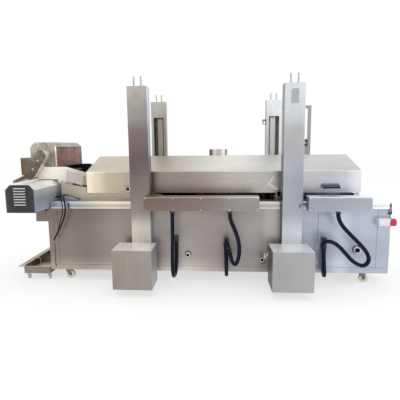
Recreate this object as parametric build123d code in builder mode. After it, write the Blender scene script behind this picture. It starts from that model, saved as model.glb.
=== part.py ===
"""Continuous fryer with a lift-up hood, a lift-out mesh conveyor and an immersed heater bank.

Units are millimetres. X runs along the machine from the discharge end (-X) to the infeed end (+X),
-Y faces the operator and Z points up from the floor. Every solid is built where it stands at rest.
"""

import os
from math import cos, pi, radians, sin, tan

from build123d import *

os.makedirs("parts", exist_ok=True)

# Body, from the casters up
body_length = 3842
body_width = 1107
body_bottom = 140
rail_height = 62
panel_top = 875
flange_top = 958
flange_reach = 32
flange_roll = 24
flange_inset = 38
sheet = 3
seam = 4
chute_reach = 529
inlet_reach = 18

# Lift columns and the drive at their feet
column_width = 215
column_depth = 115
column_top = 2200
column_bottom = 88
column_wall = 4
column_roll = 7
column_spacing = 1642
left_column_station = 1117.5
slot_width = 143
slot_drop = 225
rod_spacing = 77
rod_stand = 104
foot_box_width = 415
foot_box_height = 420
foot_box_depth = 281
foot_box_offset = -40
lift_shaft_radius = 15
lift_shaft_height = 300
idler_drop = 110
chain_inner_radius = 44
chain_outer_radius = 56
chain_width = 16
chain_depth = 45
sprocket_teeth = 11
running_clearance = 0.05

# Oil tank and hood
tank_side_gap = 114.5
tank_bottom = 450
tank_right_station = 3675
tank_slope_station = 1086
spout_foot_station = 372
spout_foot_drop = 109
tank_left_station = 125
spout_slope = 0.2817
spout_rise = 66
spout_half_width = 195
spout_tip_station = -44
scraper_station = -120
scraper_rise = 180
scraper_shaft_radius = 15
coaming_top = 1050
hood_left_station = 437.5
hood_length = 3116
hood_overhang = 8
hood_bottom = 1035
hood_eave = 1281
hood_ridge = 1446
collar_radius = 118
collar_station = 1971.5
collar_from_middle = 196
collar_top = 1521
collar_grip = 89
collar_bead = 8

# Conveyor
frame_side_gap = 83.5
frame_plate = 6
frame_height = 150
frame_rise = 82
incline_top_station = 153.5
incline_foot_station = 1805
incline_foot_top = 830
tail_station = 3465
head_station = -239.5
head_clear = 76
belt_side_gap = 20.5
belt_thickness = 5
rest_stations = (1985, 3210)
roller_radius = 62

# Drives at the discharge end
cover_width = 320
cover_chamfer_x = 57
cover_chamfer_z = 55
motor_cover_left_station = -280.5
motor_cover_clear = 5
motor_cover_height = 299
motor_cover_front = -713
motor_cover_back = -88
head_cover_left_station = -275.5
head_cover_height = 283
bridge_thick = 10
louvre_count = 7
louvre_pitch = 29
louvre_length = 128
louvre_reach = 12
louvre_rise = 20

# Heater boxes, conduits and fittings
heater_box_depth = 113
heater_box_height = 150
heater_box_bottom = 890
heater_box_clear = 12
heater_box_roll = 8
long_box_left_station = 1183.5
long_box_length = 1210
short_box_left_station = 2893.5
short_box_length = 635
heater_tube_radius = 8
conduit_radius = 21
conduit_gap = 100
inlet_size = 84
drain_reach = 34
drain_shoulder = 10
lever_reach = 46

# Control post behind the machine
post_tube = 40
post_top = 2119
control_box_width = 225
control_box_height = 220
control_box_depth = 70
control_box_drop = 469

# Casters and the crumb tray
caster_wheel_radius = 50
caster_trail = 32
caster_left_station = 156.5
caster_right_station = 3591.5
caster_inset = 95
tray_length = 396
tray_rim_height = 170
tray_pan_bottom = 80
tray_wheel_radius = 25

# Reference planes
overall_length = chute_reach + body_length + inlet_reach
body_left = -overall_length / 2 + chute_reach
body_right = body_left + body_length
middle = foot_box_depth / 2
half_body = body_width / 2
tank_half_width = half_body - tank_side_gap
hood_half_width = tank_half_width + hood_overhang
frame_half_width = tank_half_width - frame_side_gap
belt_half_width = frame_half_width - belt_side_gap
front_face = middle - half_body
rear_face = middle + half_body
left_column = body_left + left_column_station
right_column = left_column + column_spacing
column_centres = (left_column, right_column)
left_lug = (body_left + 897.5, body_left + 948.5)
right_lug = (body_left + 2624.5, body_left + 2689.5)
slot_top = column_top - slot_drop
idler_height = column_top - idler_drop
motor_cover_bottom = panel_top + motor_cover_clear
motor_cover_top = motor_cover_bottom + motor_cover_height
scraper_height = motor_cover_bottom + scraper_rise
spout_top = scraper_height + spout_rise
spout_foot_height = scraper_height - spout_foot_drop
head_height = motor_cover_top + head_clear
frame_top = head_height + frame_rise
head_cover_bottom = frame_top + bridge_thick
head_cover_top = head_cover_bottom + head_cover_height
front, rear = -1, 1


def across(side, distance):
    """Return the Y of a plane at a distance from the middle, towards the front or the rear."""
    return middle + side * distance


def block(xs, ys, zs, mode=Mode.ADD):
    """Add or cut a box between two X, two Y and two Z planes in the part being built."""
    spans = [sorted(pair) for pair in (xs, ys, zs)]
    with Locations([tuple((low + high) / 2 for low, high in spans)]):
        Box(*(high - low for low, high in spans), mode=mode)


def rod(start, axis, radius, length, mode=Mode.ADD):
    """Add or cut a round bar that starts at a point and runs along an axis."""
    with BuildSketch(Plane(origin=start, z_dir=axis)) as profile:
        Circle(radius)
    extrude(profile.sketch, amount=length, mode=mode)


def rounded_block(xs, ys, zs, radius, mode=Mode.ADD):
    """Add or cut a box with rounded upright edges between two X, two Y and two Z planes."""
    spans = [sorted(pair) for pair in (xs, ys, zs)]
    foot = ((spans[0][0] + spans[0][1]) / 2, (spans[1][0] + spans[1][1]) / 2, spans[2][0])
    with BuildSketch(Plane(origin=foot)) as profile:
        RectangleRounded(spans[0][1] - spans[0][0], spans[1][1] - spans[1][0], radius)
    extrude(profile.sketch, amount=spans[2][1] - spans[2][0], mode=mode)


def slab(points, y_low, y_high, mode=Mode.ADD):
    """Add or cut a plate whose outline is a list of X, Z points, between two Y planes."""
    with BuildSketch(Plane(origin=(0, y_low, 0), x_dir=(1, 0, 0), z_dir=(0, -1, 0))) as profile:
        with BuildLine() as outline:
            Polyline(*points, close=True)
        make_face(outline.edges())
    extrude(profile.sketch, amount=y_low - y_high, mode=mode)


def save(solids, name):
    """Label a part and write it to its own file."""
    solids.label = name
    export_step(solids, f"parts/{name}.step")


# Cladding: a corner sheet, the long sheet and the screwed sheet in front, one sheet behind, two ends
panel_cuts = (body_left, body_left + 112, body_left + 3067.5, body_left + 3703.5, body_right)
panel_zs = (body_bottom + rail_height + seam, panel_top - seam / 2)
nipple_at = (body_left + 1623.5, 343)
valve_at = (body_left + 2516, 340)
stub_at = (body_left + 3491.5, 415)
conduit_entries = (
    (body_left + 1498.5, 548),
    (body_left + 2059.5, 526),
    (body_left + 3130.5, 536),
)
with BuildPart() as body_panels:
    for cut_left, cut_right in zip(panel_cuts, panel_cuts[1:]):
        panel_xs = (cut_left + seam / 2, cut_right - seam / 2)
        block(panel_xs, (front_face, front_face + sheet), panel_zs)
    for hole_x, hole_z in (nipple_at, valve_at, stub_at):
        rod((hole_x, front_face - 1, hole_z), (0, 1, 0), 34, sheet + 2, Mode.SUBTRACT)
    for hole_x, hole_z in conduit_entries:
        rod((hole_x, front_face - 1, hole_z), (0, 1, 0), 18, sheet + 2, Mode.SUBTRACT)
    for hole_x in column_centres:
        hole_start = (hole_x, front_face - 1, lift_shaft_height)
        rod(hole_start, (0, 1, 0), lift_shaft_radius + 6, sheet + 2, Mode.SUBTRACT)
    block((body_left + seam / 2, body_right - seam / 2), (rear_face - sheet, rear_face), panel_zs)
    for hole_x in column_centres:
        hole_start = (hole_x, rear_face - sheet - 1, lift_shaft_height)
        rod(hole_start, (0, 1, 0), lift_shaft_radius + 6, sheet + 2, Mode.SUBTRACT)
    for end_x, inward in ((body_left, -1), (body_right, 1)):
        end_ys = (front_face + sheet + seam, rear_face - sheet - seam)
        block((end_x, end_x + inward * sheet), end_ys, panel_zs)
save(body_panels.part, "body_panels")

# Oil tank: a bent floor that climbs to the crumb spout, two side walls and the coaming under the hood
tank_right = body_left + tank_right_station
slope_foot = body_left + tank_slope_station
spout_foot = body_left + spout_foot_station
tank_left = body_left + tank_left_station
tank_left_height = spout_foot_height + (spout_foot - tank_left) * spout_slope
scraper_x = body_left + scraper_station
spout_tip = body_left + spout_tip_station
spout_tip_height = tank_left_height + (tank_left - spout_tip) * spout_slope
coaming_right = body_left + hood_left_station + hood_length - 12
wall_clear = column_width / 2 + 40
wall_step = body_left + hood_left_station - 10
floor_inner = tank_half_width - sheet
floor_line = (
    (tank_right, flange_top),
    (tank_right, tank_bottom),
    (slope_foot, tank_bottom),
    (spout_foot, spout_foot_height),
    (tank_left, tank_left_height),
)
with BuildPart() as tank_floor:
    under_floor = [(x, z - sheet) for x, z in floor_line[1:]]
    under_floor[0] = (tank_right + sheet, tank_bottom - sheet)
    floor_outline = (*floor_line, *reversed(under_floor), (tank_right + sheet, flange_top))
    slab(floor_outline, across(front, floor_inner), across(rear, floor_inner))
    # Posts in the oil that the conveyor's side frames stand on
    for rest_x in [body_left + station for station in rest_stations]:
        for side in (front, rear):
            rest_ys = (across(side, frame_half_width - 18), across(side, frame_half_width + 12))
            rest_top = incline_foot_top + 20 - frame_height
            block((rest_x - 15, rest_x + 15), rest_ys, (tank_bottom, rest_top))
save(tank_floor.part, "tank_floor")

with BuildPart() as tank_walls:
    for side in (front, rear):
        wall_outline = (
            *floor_line,
            (tank_left, spout_top + 66),
            (tank_left + 66, spout_top + 12),
            (wall_step, spout_top - 26),
            (wall_step, coaming_top),
            (coaming_right, coaming_top),
            (coaming_right, flange_top),
        )
        slab(wall_outline, *sorted((across(side, tank_half_width), across(side, floor_inner))))
    gap_ys = (across(front, tank_half_width + 1), across(front, floor_inner - 1))
    short_gap_left = body_left + short_box_left_station + 40
    for gap_xs in (
        (left_column - wall_clear, right_column + wall_clear),
        (short_gap_left, short_gap_left + short_box_length - 80),
    ):
        block(gap_xs, gap_ys, (flange_top, coaming_top + 1), Mode.SUBTRACT)
    lug_gap = (right_lug[0] - 12, right_lug[1] + 12)
    lug_gap_ys = (across(rear, tank_half_width + 1), across(rear, floor_inner - 1))
    block(lug_gap, lug_gap_ys, (flange_top, coaming_top + 1), Mode.SUBTRACT)
    # Narrow spout that leaves the tank's end over the tray and carries the scraper's turning shaft
    for side in (front, rear):
        end_ys = (across(side, spout_half_width), across(side, floor_inner))
        block((tank_left - sheet, tank_left), end_ys, (tank_left_height - sheet, spout_top + 20))
        cheek_outline = (
            (tank_left, tank_left_height - sheet),
            (spout_tip, spout_tip_height - sheet),
            (scraper_x - 34, scraper_height - 40),
            (scraper_x - 34, spout_top + 20),
            (tank_left, spout_top + 20),
        )
        cheek_ys = sorted((across(side, spout_half_width), across(side, spout_half_width - sheet)))
        slab(cheek_outline, *cheek_ys)
        bore_start = (scraper_x, cheek_ys[0] - 1, scraper_height)
        rod(bore_start, (0, 1, 0), scraper_shaft_radius + running_clearance, sheet + 2, Mode.SUBTRACT)
    spout_floor = (
        (tank_left, tank_left_height),
        (spout_tip, spout_tip_height),
        (spout_tip, spout_tip_height - sheet),
        (tank_left, tank_left_height - sheet),
    )
    spout_inner = spout_half_width - sheet
    slab(spout_floor, across(front, spout_inner), across(rear, spout_inner))
save(tank_walls.part, "tank_walls")

with BuildPart() as scraper_shaft:
    shaft_front = motor_cover_back - 60
    shaft_back = across(rear, spout_half_width + 12)
    shaft_start = (scraper_x, shaft_front, scraper_height)
    rod(shaft_start, (0, 1, 0), scraper_shaft_radius, shaft_back - shaft_front)
    for wheel_y in (across(front, spout_half_width - 30), across(rear, spout_half_width - 50)):
        with BuildSketch(Plane(origin=(scraper_x, wheel_y, scraper_height), z_dir=(0, 1, 0))) as star:
            RegularPolygon(30, 8)
        extrude(star.sketch, amount=20)
save(scraper_shaft.part, "scraper_shaft")

# Flange around the tank: strips rolled down in front of the cladding, notched for the columns, and end plates
flange_left = body_left + flange_inset + 24
flange_right = body_right - flange_inset
flange_solids = []
for side in (front, rear):
    outer = across(side, half_body + flange_reach)
    with BuildPart() as strip:
        deck_ys = (outer, across(side, tank_half_width))
        block((flange_left, flange_right), deck_ys, (flange_top - sheet, flange_top))
        lip_ys = (outer, across(side, half_body + flange_reach - sheet))
        block((flange_left, flange_right), lip_ys, (panel_top, flange_top))
        for corner_y, corner_z, corner_radius in (
            (across(side, half_body + flange_reach - sheet), flange_top - sheet, flange_roll - sheet),
            (outer, flange_top, flange_roll),
        ):
            along = strip.edges().filter_by(Axis.X)
            along = along.filter_by(lambda edge: abs(edge.center().Y - corner_y) < 0.1)
            fillet(along.filter_by(lambda edge: abs(edge.center().Z - corner_z) < 0.1), radius=corner_radius)
        for column_x in column_centres:
            notch_xs = (column_x - column_width / 2 - seam, column_x + column_width / 2 + seam)
            notch_ys = (across(side, half_body + flange_reach + 1), across(side, half_body - 1))
            block(notch_xs, notch_ys, (panel_top - 1, flange_top + 1), Mode.SUBTRACT)
    flange_solids.extend(strip.part.solids())
with BuildPart() as end_plates:
    plate_ys = (across(front, tank_half_width), across(rear, tank_half_width))
    block((tank_right + sheet, flange_right), plate_ys, (flange_top - sheet, flange_top))
    deck_right = spout_foot - 40
    block((flange_left, deck_right), plate_ys, (flange_top - sheet, flange_top))
flange_solids.extend(end_plates.part.solids())
save(Compound(flange_solids), "tank_flange")


def add_column(column_x, side):
    """Add one lift column: a folded channel with a slot towards the tank and a cap plate."""
    outer = half_body + column_depth
    half = column_width / 2
    ys = (across(side, outer), across(side, half_body))
    block((column_x - half, column_x + half), ys, (column_bottom, column_top))
    hollow_ys = (across(side, outer - column_wall), across(side, half_body + column_wall))
    hollow_xs = (column_x - half + column_wall, column_x + half - column_wall)
    block(hollow_xs, hollow_ys, (column_bottom, column_top - column_wall), Mode.SUBTRACT)
    slot_xs = (column_x - slot_width / 2, column_x + slot_width / 2)
    slot_ys = (across(side, half_body + column_wall), across(side, half_body))
    block(slot_xs, slot_ys, (column_bottom, slot_top), Mode.SUBTRACT)
    rod_y = across(side, outer - chain_depth)
    for rod_x in (column_x - rod_spacing / 2, column_x + rod_spacing / 2):
        rod((rod_x, rod_y, column_top + 1), (0, 0, -1), 8.5, column_wall + 2, Mode.SUBTRACT)
    if side == front:
        hole_start = (column_x, across(side, outer), lift_shaft_height)
        rod(hole_start, (0, 1, 0), lift_shaft_radius + 5, column_wall, Mode.SUBTRACT)


def round_columns(columns, side):
    """Round the outer folds and the cap's edges of the columns being built."""
    outer = across(side, half_body + column_depth)
    folds = columns.edges().filter_by(Axis.Z)
    folds = folds.filter_by(lambda edge: abs(edge.center().Y - outer) < 0.1 and edge.length > column_top / 2)
    fillet(folds, radius=column_roll)
    cap = columns.faces().filter_by(lambda face: abs(face.center().Z - column_top) < 0.1)
    fillet([edge for face in cap for edge in face.outer_wire().edges()], radius=column_wall / 2)


for side, place in ((front, "front"), (rear, "rear")):
    with BuildPart() as columns:
        for column_x in column_centres:
            add_column(column_x, side)
        round_columns(columns, side)
    save(columns.part, f"{place}_columns")

# Boxes over the lift drives at the feet of the front columns
box_front = across(front, half_body + column_depth + foot_box_depth)
box_back = across(front, half_body + column_depth)
box_sheet = 2
with BuildPart() as drive_boxes:
    for column_x in column_centres:
        box_left = column_x + foot_box_offset - foot_box_width / 2
        box_right = box_left + foot_box_width
        box_zs = (column_bottom, column_bottom + foot_box_height)
        block((box_left, box_right), (box_front, box_back), box_zs)
        hollow_xs = (box_left + box_sheet, box_right - box_sheet)
        hollow_ys = (box_front + box_sheet, box_back - box_sheet)
        block(hollow_xs, hollow_ys, (box_zs[0] + box_sheet, box_zs[1] - box_sheet), Mode.SUBTRACT)
        hole_start = (column_x, box_back + 1, lift_shaft_height)
        rod(hole_start, (0, -1, 0), lift_shaft_radius + 5, box_sheet + 2, Mode.SUBTRACT)
save(drive_boxes.part, "drive_boxes")

# Flange bearings that carry the lift shafts inside the four columns
with BuildPart() as lift_bearings:
    for column_x in column_centres:
        for side in (front, rear):
            plate_u = half_body + column_depth - column_wall
            bearing_ys = (across(side, plate_u), across(side, plate_u - 20))
            block((column_x - 38, column_x + 38), bearing_ys, (lift_shaft_height - 38, lift_shaft_height + 38))
            bore_start = (column_x, across(side, plate_u + 1), lift_shaft_height)
            bore_radius = lift_shaft_radius + running_clearance
            rod(bore_start, (0, -side, 0), bore_radius, 22, Mode.SUBTRACT)
save(lift_bearings.part, "lift_bearings")


def sprocket(centre, side, bore):
    """Add a toothed chain wheel that stands across Y, with an optional bore, to the part being built."""
    half = 6
    wheel_plane = Plane(origin=(centre[0], centre[1] - half, centre[2]), x_dir=(1, 0, 0), z_dir=(0, 1, 0))
    tip_radius = chain_inner_radius - 0.6
    with BuildSketch(wheel_plane) as wheel:
        Circle(tip_radius)
        with PolarLocations(tip_radius, sprocket_teeth):
            RegularPolygon(7, 6, mode=Mode.SUBTRACT)
        if bore:
            Circle(bore, mode=Mode.SUBTRACT)
    extrude(wheel.sketch, amount=2 * half)


wheel_reach = half_body + column_depth - chain_depth
for column_x, hand in ((left_column, "left"), (right_column, "right")):
    with BuildPart() as lift_shaft:
        shaft_start = (column_x, box_back - 165, lift_shaft_height)
        shaft_end = across(rear, half_body + column_depth - column_wall - 1)
        rod(shaft_start, (0, 1, 0), lift_shaft_radius, shaft_end - shaft_start[1])
        for side in (front, rear):
            sprocket((column_x, across(side, wheel_reach), lift_shaft_height), side, None)
    save(lift_shaft.part, f"{hand}_lift_shaft")
    with BuildPart() as idlers:
        for side in (front, rear):
            sprocket((column_x, across(side, wheel_reach), idler_height), side, 10 + running_clearance)
    save(idlers.part, f"{hand}_idler_wheels")

# Endless lift chains as plain bands around their wheels
with BuildPart() as lift_chains:
    for column_x in column_centres:
        for side in (front, rear):
            chain_y = across(side, wheel_reach) + chain_width / 2
            chain_middle = (column_x, chain_y, (lift_shaft_height + idler_height) / 2)
            with BuildSketch(Plane(origin=chain_middle, x_dir=(0, 0, 1), z_dir=(0, -1, 0))) as loop:
                SlotCenterToCenter(idler_height - lift_shaft_height, 2 * chain_outer_radius)
                SlotCenterToCenter(
                    idler_height - lift_shaft_height, 2 * chain_inner_radius, mode=Mode.SUBTRACT
                )
            extrude(loop.sketch, amount=chain_width)
save(lift_chains.part, "lift_chains")

# Chain tensioners: a forked block on two threaded rods that pass the column's cap, with jam nuts under it
yoke_zs = (column_top - 48, column_top - 30)
nut_height = 13
with BuildPart() as chain_tensioners:
    for column_x in column_centres:
        for side in (front, rear):
            fork_y = across(side, wheel_reach)
            block((column_x - 55, column_x + 55), (fork_y - 20, fork_y + 20), yoke_zs)
            for cheek in (-1, 1):
                cheek_ys = (fork_y + cheek * 10, fork_y + cheek * 16)
                block((column_x - 22, column_x + 22), cheek_ys, (idler_height - 24, yoke_zs[0]))
            rod((column_x, fork_y - 20, idler_height), (0, 1, 0), 10, 40)
            for rod_x in (column_x - rod_spacing / 2, column_x + rod_spacing / 2):
                rod((rod_x, fork_y, yoke_zs[1]), (0, 0, 1), 8, column_top + rod_stand - yoke_zs[1])
                with BuildSketch(Plane.XY.offset(column_top - column_wall - nut_height)) as nut:
                    with Locations((rod_x, fork_y)):
                        RegularPolygon(13.8, 6)
                extrude(nut.sketch, amount=nut_height)
save(chain_tensioners.part, "chain_tensioners")

# Heater terminal boxes in front of the columns, with a bridge over the flange to the immersed tubes
heater_back = across(front, half_body + column_depth + heater_box_clear)
heater_front = heater_back - heater_box_depth
heater_zs = (heater_box_bottom, heater_box_bottom + heater_box_height)
tube_height = 985
tube_drop_y = across(front, (floor_inner + frame_half_width) / 2)
tube_bed = 560
tube_end_y = across(rear, 400)
tube_pitch = 90
long_tubes = [body_left + long_box_left_station + 210 + 230 * index for index in range(4)]
short_tubes = [body_left + short_box_left_station + 150 + 230 * index for index in range(2)]
heaters = (
    (body_left + long_box_left_station, long_box_length, long_tubes),
    (body_left + short_box_left_station, short_box_length, short_tubes),
)
with BuildPart() as heater_boxes:
    for heater_left, heater_length, tube_xs in heaters:
        box_xs = (heater_left, heater_left + heater_length)
        rounded_block(box_xs, (heater_front, heater_back), heater_zs, heater_box_roll)
        hollow_xs = (heater_left + box_sheet, heater_left + heater_length - box_sheet)
        hollow_ys = (heater_front + box_sheet, heater_back - box_sheet)
        hollow_zs = (heater_zs[0] + box_sheet, heater_zs[1] - box_sheet)
        rounded_block(hollow_xs, hollow_ys, hollow_zs, heater_box_roll - box_sheet, Mode.SUBTRACT)
        for tube_x in tube_xs:
            for hole_x in (tube_x, tube_x + tube_pitch):
                hole_start = (hole_x, heater_back + 1, tube_height)
                rod(hole_start, (0, -1, 0), heater_tube_radius - 1, box_sheet + 2, Mode.SUBTRACT)
        bridge_xs = (tube_xs[0] - 50, tube_xs[-1] + tube_pitch + 50)
        bridge_end = across(front, floor_inner + 6)
        block(bridge_xs, (heater_back, bridge_end), (tube_height + 12, tube_height + 16))
        for foot_x in bridge_xs:
            foot_in = foot_x + (4 if foot_x == bridge_xs[0] else -4)
            foot_ys = (across(front, half_body + 20), bridge_end)
            block((foot_x, foot_in), foot_ys, (flange_top, tube_height + 12))
save(heater_boxes.part, "heater_boxes")

with BuildPart() as heater_tubes:
    for tube_x in (*long_tubes, *short_tubes):
        near, far = tube_x, tube_x + tube_pitch
        with BuildLine() as hairpin:
            Polyline(
                (near, heater_back, tube_height),
                (near, tube_drop_y, tube_height),
                (near, tube_drop_y, tube_bed),
                (near, tube_end_y, tube_bed),
                (far, tube_end_y, tube_bed),
                (far, tube_drop_y, tube_bed),
                (far, tube_drop_y, tube_height),
                (far, heater_back, tube_height),
            )
        with BuildSketch(Plane(origin=(near, heater_back, tube_height), z_dir=(0, 1, 0))) as bore:
            Circle(heater_tube_radius)
        sweep(bore.sketch, path=hairpin.wire(), transition=Transition.RIGHT)
save(heater_tubes.part, "heater_tubes")

# Flexible conduits from the heater boxes: each hangs in a loop and turns up into an elbow on the panel
gland_length = 28
entry_reach = 42
elbow_drop = 38
entry_y = front_face - entry_reach
gland_y = (heater_front + heater_back) / 2
loop_y = gland_y - 10
return_y = (loop_y + entry_y) / 2
gland_foot = heater_box_bottom - gland_length
left_entry, middle_entry, right_entry = conduit_entries
left_top = body_left + 1478.5
middle_top = body_left + 2092.5
right_top = body_left + 3211.5


def on_line(origin_x, points):
    """Move a list of points, whose X is counted from a station, to that station."""
    return [(origin_x + x, y, z) for x, y, z in points]


left_route = on_line(
    left_top,
    [
        (0, gland_y, gland_foot),
        (0, gland_y, 610),
        (-8, gland_y + 2, 370),
        (-6, gland_y, 135),
        (8, entry_y, 135),
        (20, entry_y, 330),
        (20, entry_y, left_entry[1] - elbow_drop),
    ],
)
middle_route = on_line(
    middle_top,
    [
        (0, gland_y, gland_foot),
        (0, gland_y, 800),
        (36, gland_y - 2, 715),
        (80, loop_y + 2, 610),
        (102, loop_y, 500),
        (98, loop_y, 390),
        (68, loop_y, 292),
        (26, loop_y, 318),
        (6, loop_y, 400),
        (-12, loop_y, 470),
        (-28, loop_y + 4, 540),
        (-46, return_y - 8, 540),
        (-42, return_y, 440),
        (-37, return_y, 290),
        (-34, return_y, 141),
        (-33, entry_y, 141),
        (-31, entry_y, 270),
        (-33, entry_y, 400),
        (-33, entry_y, middle_entry[1] - elbow_drop),
    ],
)
right_route = on_line(
    right_top,
    [
        (0, gland_y, gland_foot),
        (0, gland_y, 810),
        (46, gland_y - 3, 725),
        (124, loop_y, 640),
        (225, loop_y - 2, 540),
        (300, loop_y - 2, 455),
        (334, loop_y - 2, 370),
        (300, loop_y - 2, 306),
        (238, loop_y, 303),
        (160, loop_y, 350),
        (90, loop_y, 430),
        (20, loop_y + 2, 510),
        (-50, loop_y + 6, 556),
        (-112, loop_y + 14, 560),
        (-138, return_y - 24, 510),
        (-112, return_y, 430),
        (-104, return_y, 300),
        (-92, return_y, 145),
        (-86, entry_y, 145),
        (-82, entry_y, 270),
        (-81, entry_y, 400),
        (-81, entry_y, right_entry[1] - elbow_drop),
    ],
)


def bend_radii(points, largest=400):
    """Return the largest bend that fits at each inner point of a route."""
    radii = []
    for before, here, after in zip(points, points[1:], points[2:]):
        arrive = Vector(here) - Vector(before)
        leave = Vector(after) - Vector(here)
        half_turn = radians(arrive.get_angle(leave)) / 2
        room = 0.45 * min(arrive.length, leave.length) / tan(half_turn)
        radii.append(min(room, largest))
    return radii


def build_cord(points, radius):
    """Sweep a round cord along a route with rounded bends."""
    with BuildPart() as cord:
        with BuildLine() as route:
            FilletPolyline(*points, radius=bend_radii(points))
        direction = Vector(points[1]) - Vector(points[0])
        with BuildSketch(Plane(origin=points[0], z_dir=direction)) as section:
            Circle(radius)
        sweep(section.sketch, path=route.wire())
    return cord.part, route.wire().length


cord_lengths = {}
routes = (("left", left_route), ("middle", middle_route), ("right", right_route))
for hand, route_points in routes:
    conduit, cord_lengths[f"conduit_{hand}"] = build_cord(route_points, conduit_radius)
    save(conduit, f"conduit_{hand}")

with BuildPart() as conduit_glands:
    for (hand, route_points), (entry_x, entry_z) in zip(routes, conduit_entries):
        gland_x = route_points[0][0]
        rod((gland_x, gland_y, heater_box_bottom), (0, 0, -1), conduit_radius + 6, gland_length)
        rod((entry_x, front_face, entry_z), (0, -1, 0), 15, entry_reach - 10)
        elbow_top = (entry_x, entry_y, entry_z + 18)
        rod(elbow_top, (0, 0, -1), conduit_radius + 4, elbow_drop + 18)
save(conduit_glands.part, "conduit_glands")

# Drain pipes from the tank floor through the front cladding
valve_x, valve_z = valve_at
valve_stem_y = front_face - drain_reach - 31
lever_zs = (valve_z + 36.5, valve_z + 41)
pipe_front = front_face - drain_reach
pipe_back = front_face + 220
with BuildPart() as drain_pipes:
    for (pipe_x, pipe_z), pipe_radius in ((nipple_at, 25), (valve_at, 22), (stub_at, 32)):
        inner_radius = pipe_radius - 3
        rod((pipe_x, pipe_front, pipe_z), (0, 1, 0), pipe_radius, drain_reach - drain_shoulder)
        with BuildSketch(Plane(origin=(pipe_x, front_face, pipe_z), z_dir=(0, -1, 0))) as shoulder:
            RegularPolygon(pipe_radius + 9, 6)
        extrude(shoulder.sketch, amount=drain_shoulder)
        rod((pipe_x, front_face, pipe_z), (0, 1, 0), inner_radius, pipe_back - front_face)
        riser_start = (pipe_x, pipe_back - inner_radius, pipe_z)
        rod(riser_start, (0, 0, 1), inner_radius, tank_bottom - sheet - pipe_z)
        rod((pipe_x, pipe_front, pipe_z), (0, 1, 0), inner_radius - 3, 160, Mode.SUBTRACT)
    # Ball valve on the middle pipe with a bent spout
    rod((valve_x, pipe_front - 62, valve_z), (0, 1, 0), 27, 62)
    rod((valve_x, valve_stem_y, valve_z), (0, 0, 1), 10, 36)
    rod((valve_x, valve_stem_y, valve_z), (0, 0, 1), 6, 52)
    with BuildLine() as spout_route:
        Bezier(
            (valve_x, valve_stem_y, valve_z),
            (valve_x - 30, valve_stem_y - 14, valve_z - 4),
            (valve_x - 58, valve_stem_y - 30, valve_z - 16),
            (valve_x - 60, valve_stem_y - 44, valve_z - 66),
        )
    with BuildSketch(Plane(origin=spout_route.wire() @ 0, z_dir=spout_route.wire() % 0)) as spout_bore:
        Circle(20)
    sweep(spout_bore.sketch, path=spout_route.wire())
    mouth_plane = Plane(origin=spout_route.wire() @ 1, z_dir=-(spout_route.wire() % 1))
    with BuildSketch(mouth_plane) as spout_mouth:
        Circle(15)
    extrude(spout_mouth.sketch, amount=22, mode=Mode.SUBTRACT)
save(drain_pipes.part, "drain_pipes")

with BuildPart() as drain_lever:
    rod((valve_x, valve_stem_y, lever_zs[0]), (0, 0, 1), 14, lever_zs[1] - lever_zs[0])
    bend_x = valve_x + lever_reach * 0.55
    lever_ys = (valve_stem_y - 8, valve_stem_y + 8)
    block((valve_x, bend_x), lever_ys, lever_zs)
    grip_outline = (
        (bend_x, lever_zs[0]),
        (valve_x + lever_reach, lever_zs[0] - 18),
        (valve_x + lever_reach, lever_zs[1] - 18),
        (bend_x, lever_zs[1]),
    )
    slab(grip_outline, *lever_ys)
    bore_start = (valve_x, valve_stem_y, lever_zs[0] - 1)
    rod(bore_start, (0, 0, 1), 6 + running_clearance, 8, Mode.SUBTRACT)
save(drain_lever.part, "drain_lever")

# Power inlet at the infeed end: a housing on the cladding and a shrouded nose beyond the body's end
inlet_z = 734
inlet_right = body_right - 42
inlet_zs = (inlet_z - inlet_size / 2, inlet_z + inlet_size / 2)
with BuildPart() as power_inlet:
    block((inlet_right - 118, inlet_right), (front_face - 72, front_face), inlet_zs)
    fillet(power_inlet.edges().filter_by(Axis.X), radius=14)
save(power_inlet.part, "power_inlet")

with BuildPart() as inlet_nose:
    nose_start = (inlet_right, front_face - 43, inlet_z - 2)
    nose_length = body_right + inlet_reach - inlet_right
    rod(nose_start, (1, 0, 0), 40, nose_length)
    rod((inlet_right + 13, nose_start[1], nose_start[2]), (1, 0, 0), 34, nose_length, Mode.SUBTRACT)
    for pin_angle in range(0, 360, 72):
        pin_y = nose_start[1] + 18 * cos(radians(pin_angle))
        pin_z = nose_start[2] + 18 * sin(radians(pin_angle))
        rod((inlet_right + 9, pin_y, pin_z), (1, 0, 0), 4, nose_length - 18)
save(inlet_nose.part, "inlet_nose")

# Control post behind the machine, tied to the rear column by an arm
post_left = right_column + 484
post_ys = (rear_face + flange_reach + 6, rear_face + flange_reach + 6 + post_tube)
with BuildPart() as control_post:
    block((post_left, post_left + post_tube), post_ys, (body_bottom + 70, post_top))
    arm_xs = (right_column + column_width / 2, post_left)
    block(arm_xs, post_ys, (post_top - post_tube, post_top))
    block((post_left, post_left + post_tube), (rear_face, post_ys[0]), (body_bottom + 70, body_bottom + 190))
    box_xs = (post_left - control_box_width, post_left)
    box_top = post_top - control_box_drop
    block(box_xs, (post_ys[0], post_ys[0] + control_box_depth), (box_top - control_box_height, box_top))
save(control_post.part, "control_post")

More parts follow.
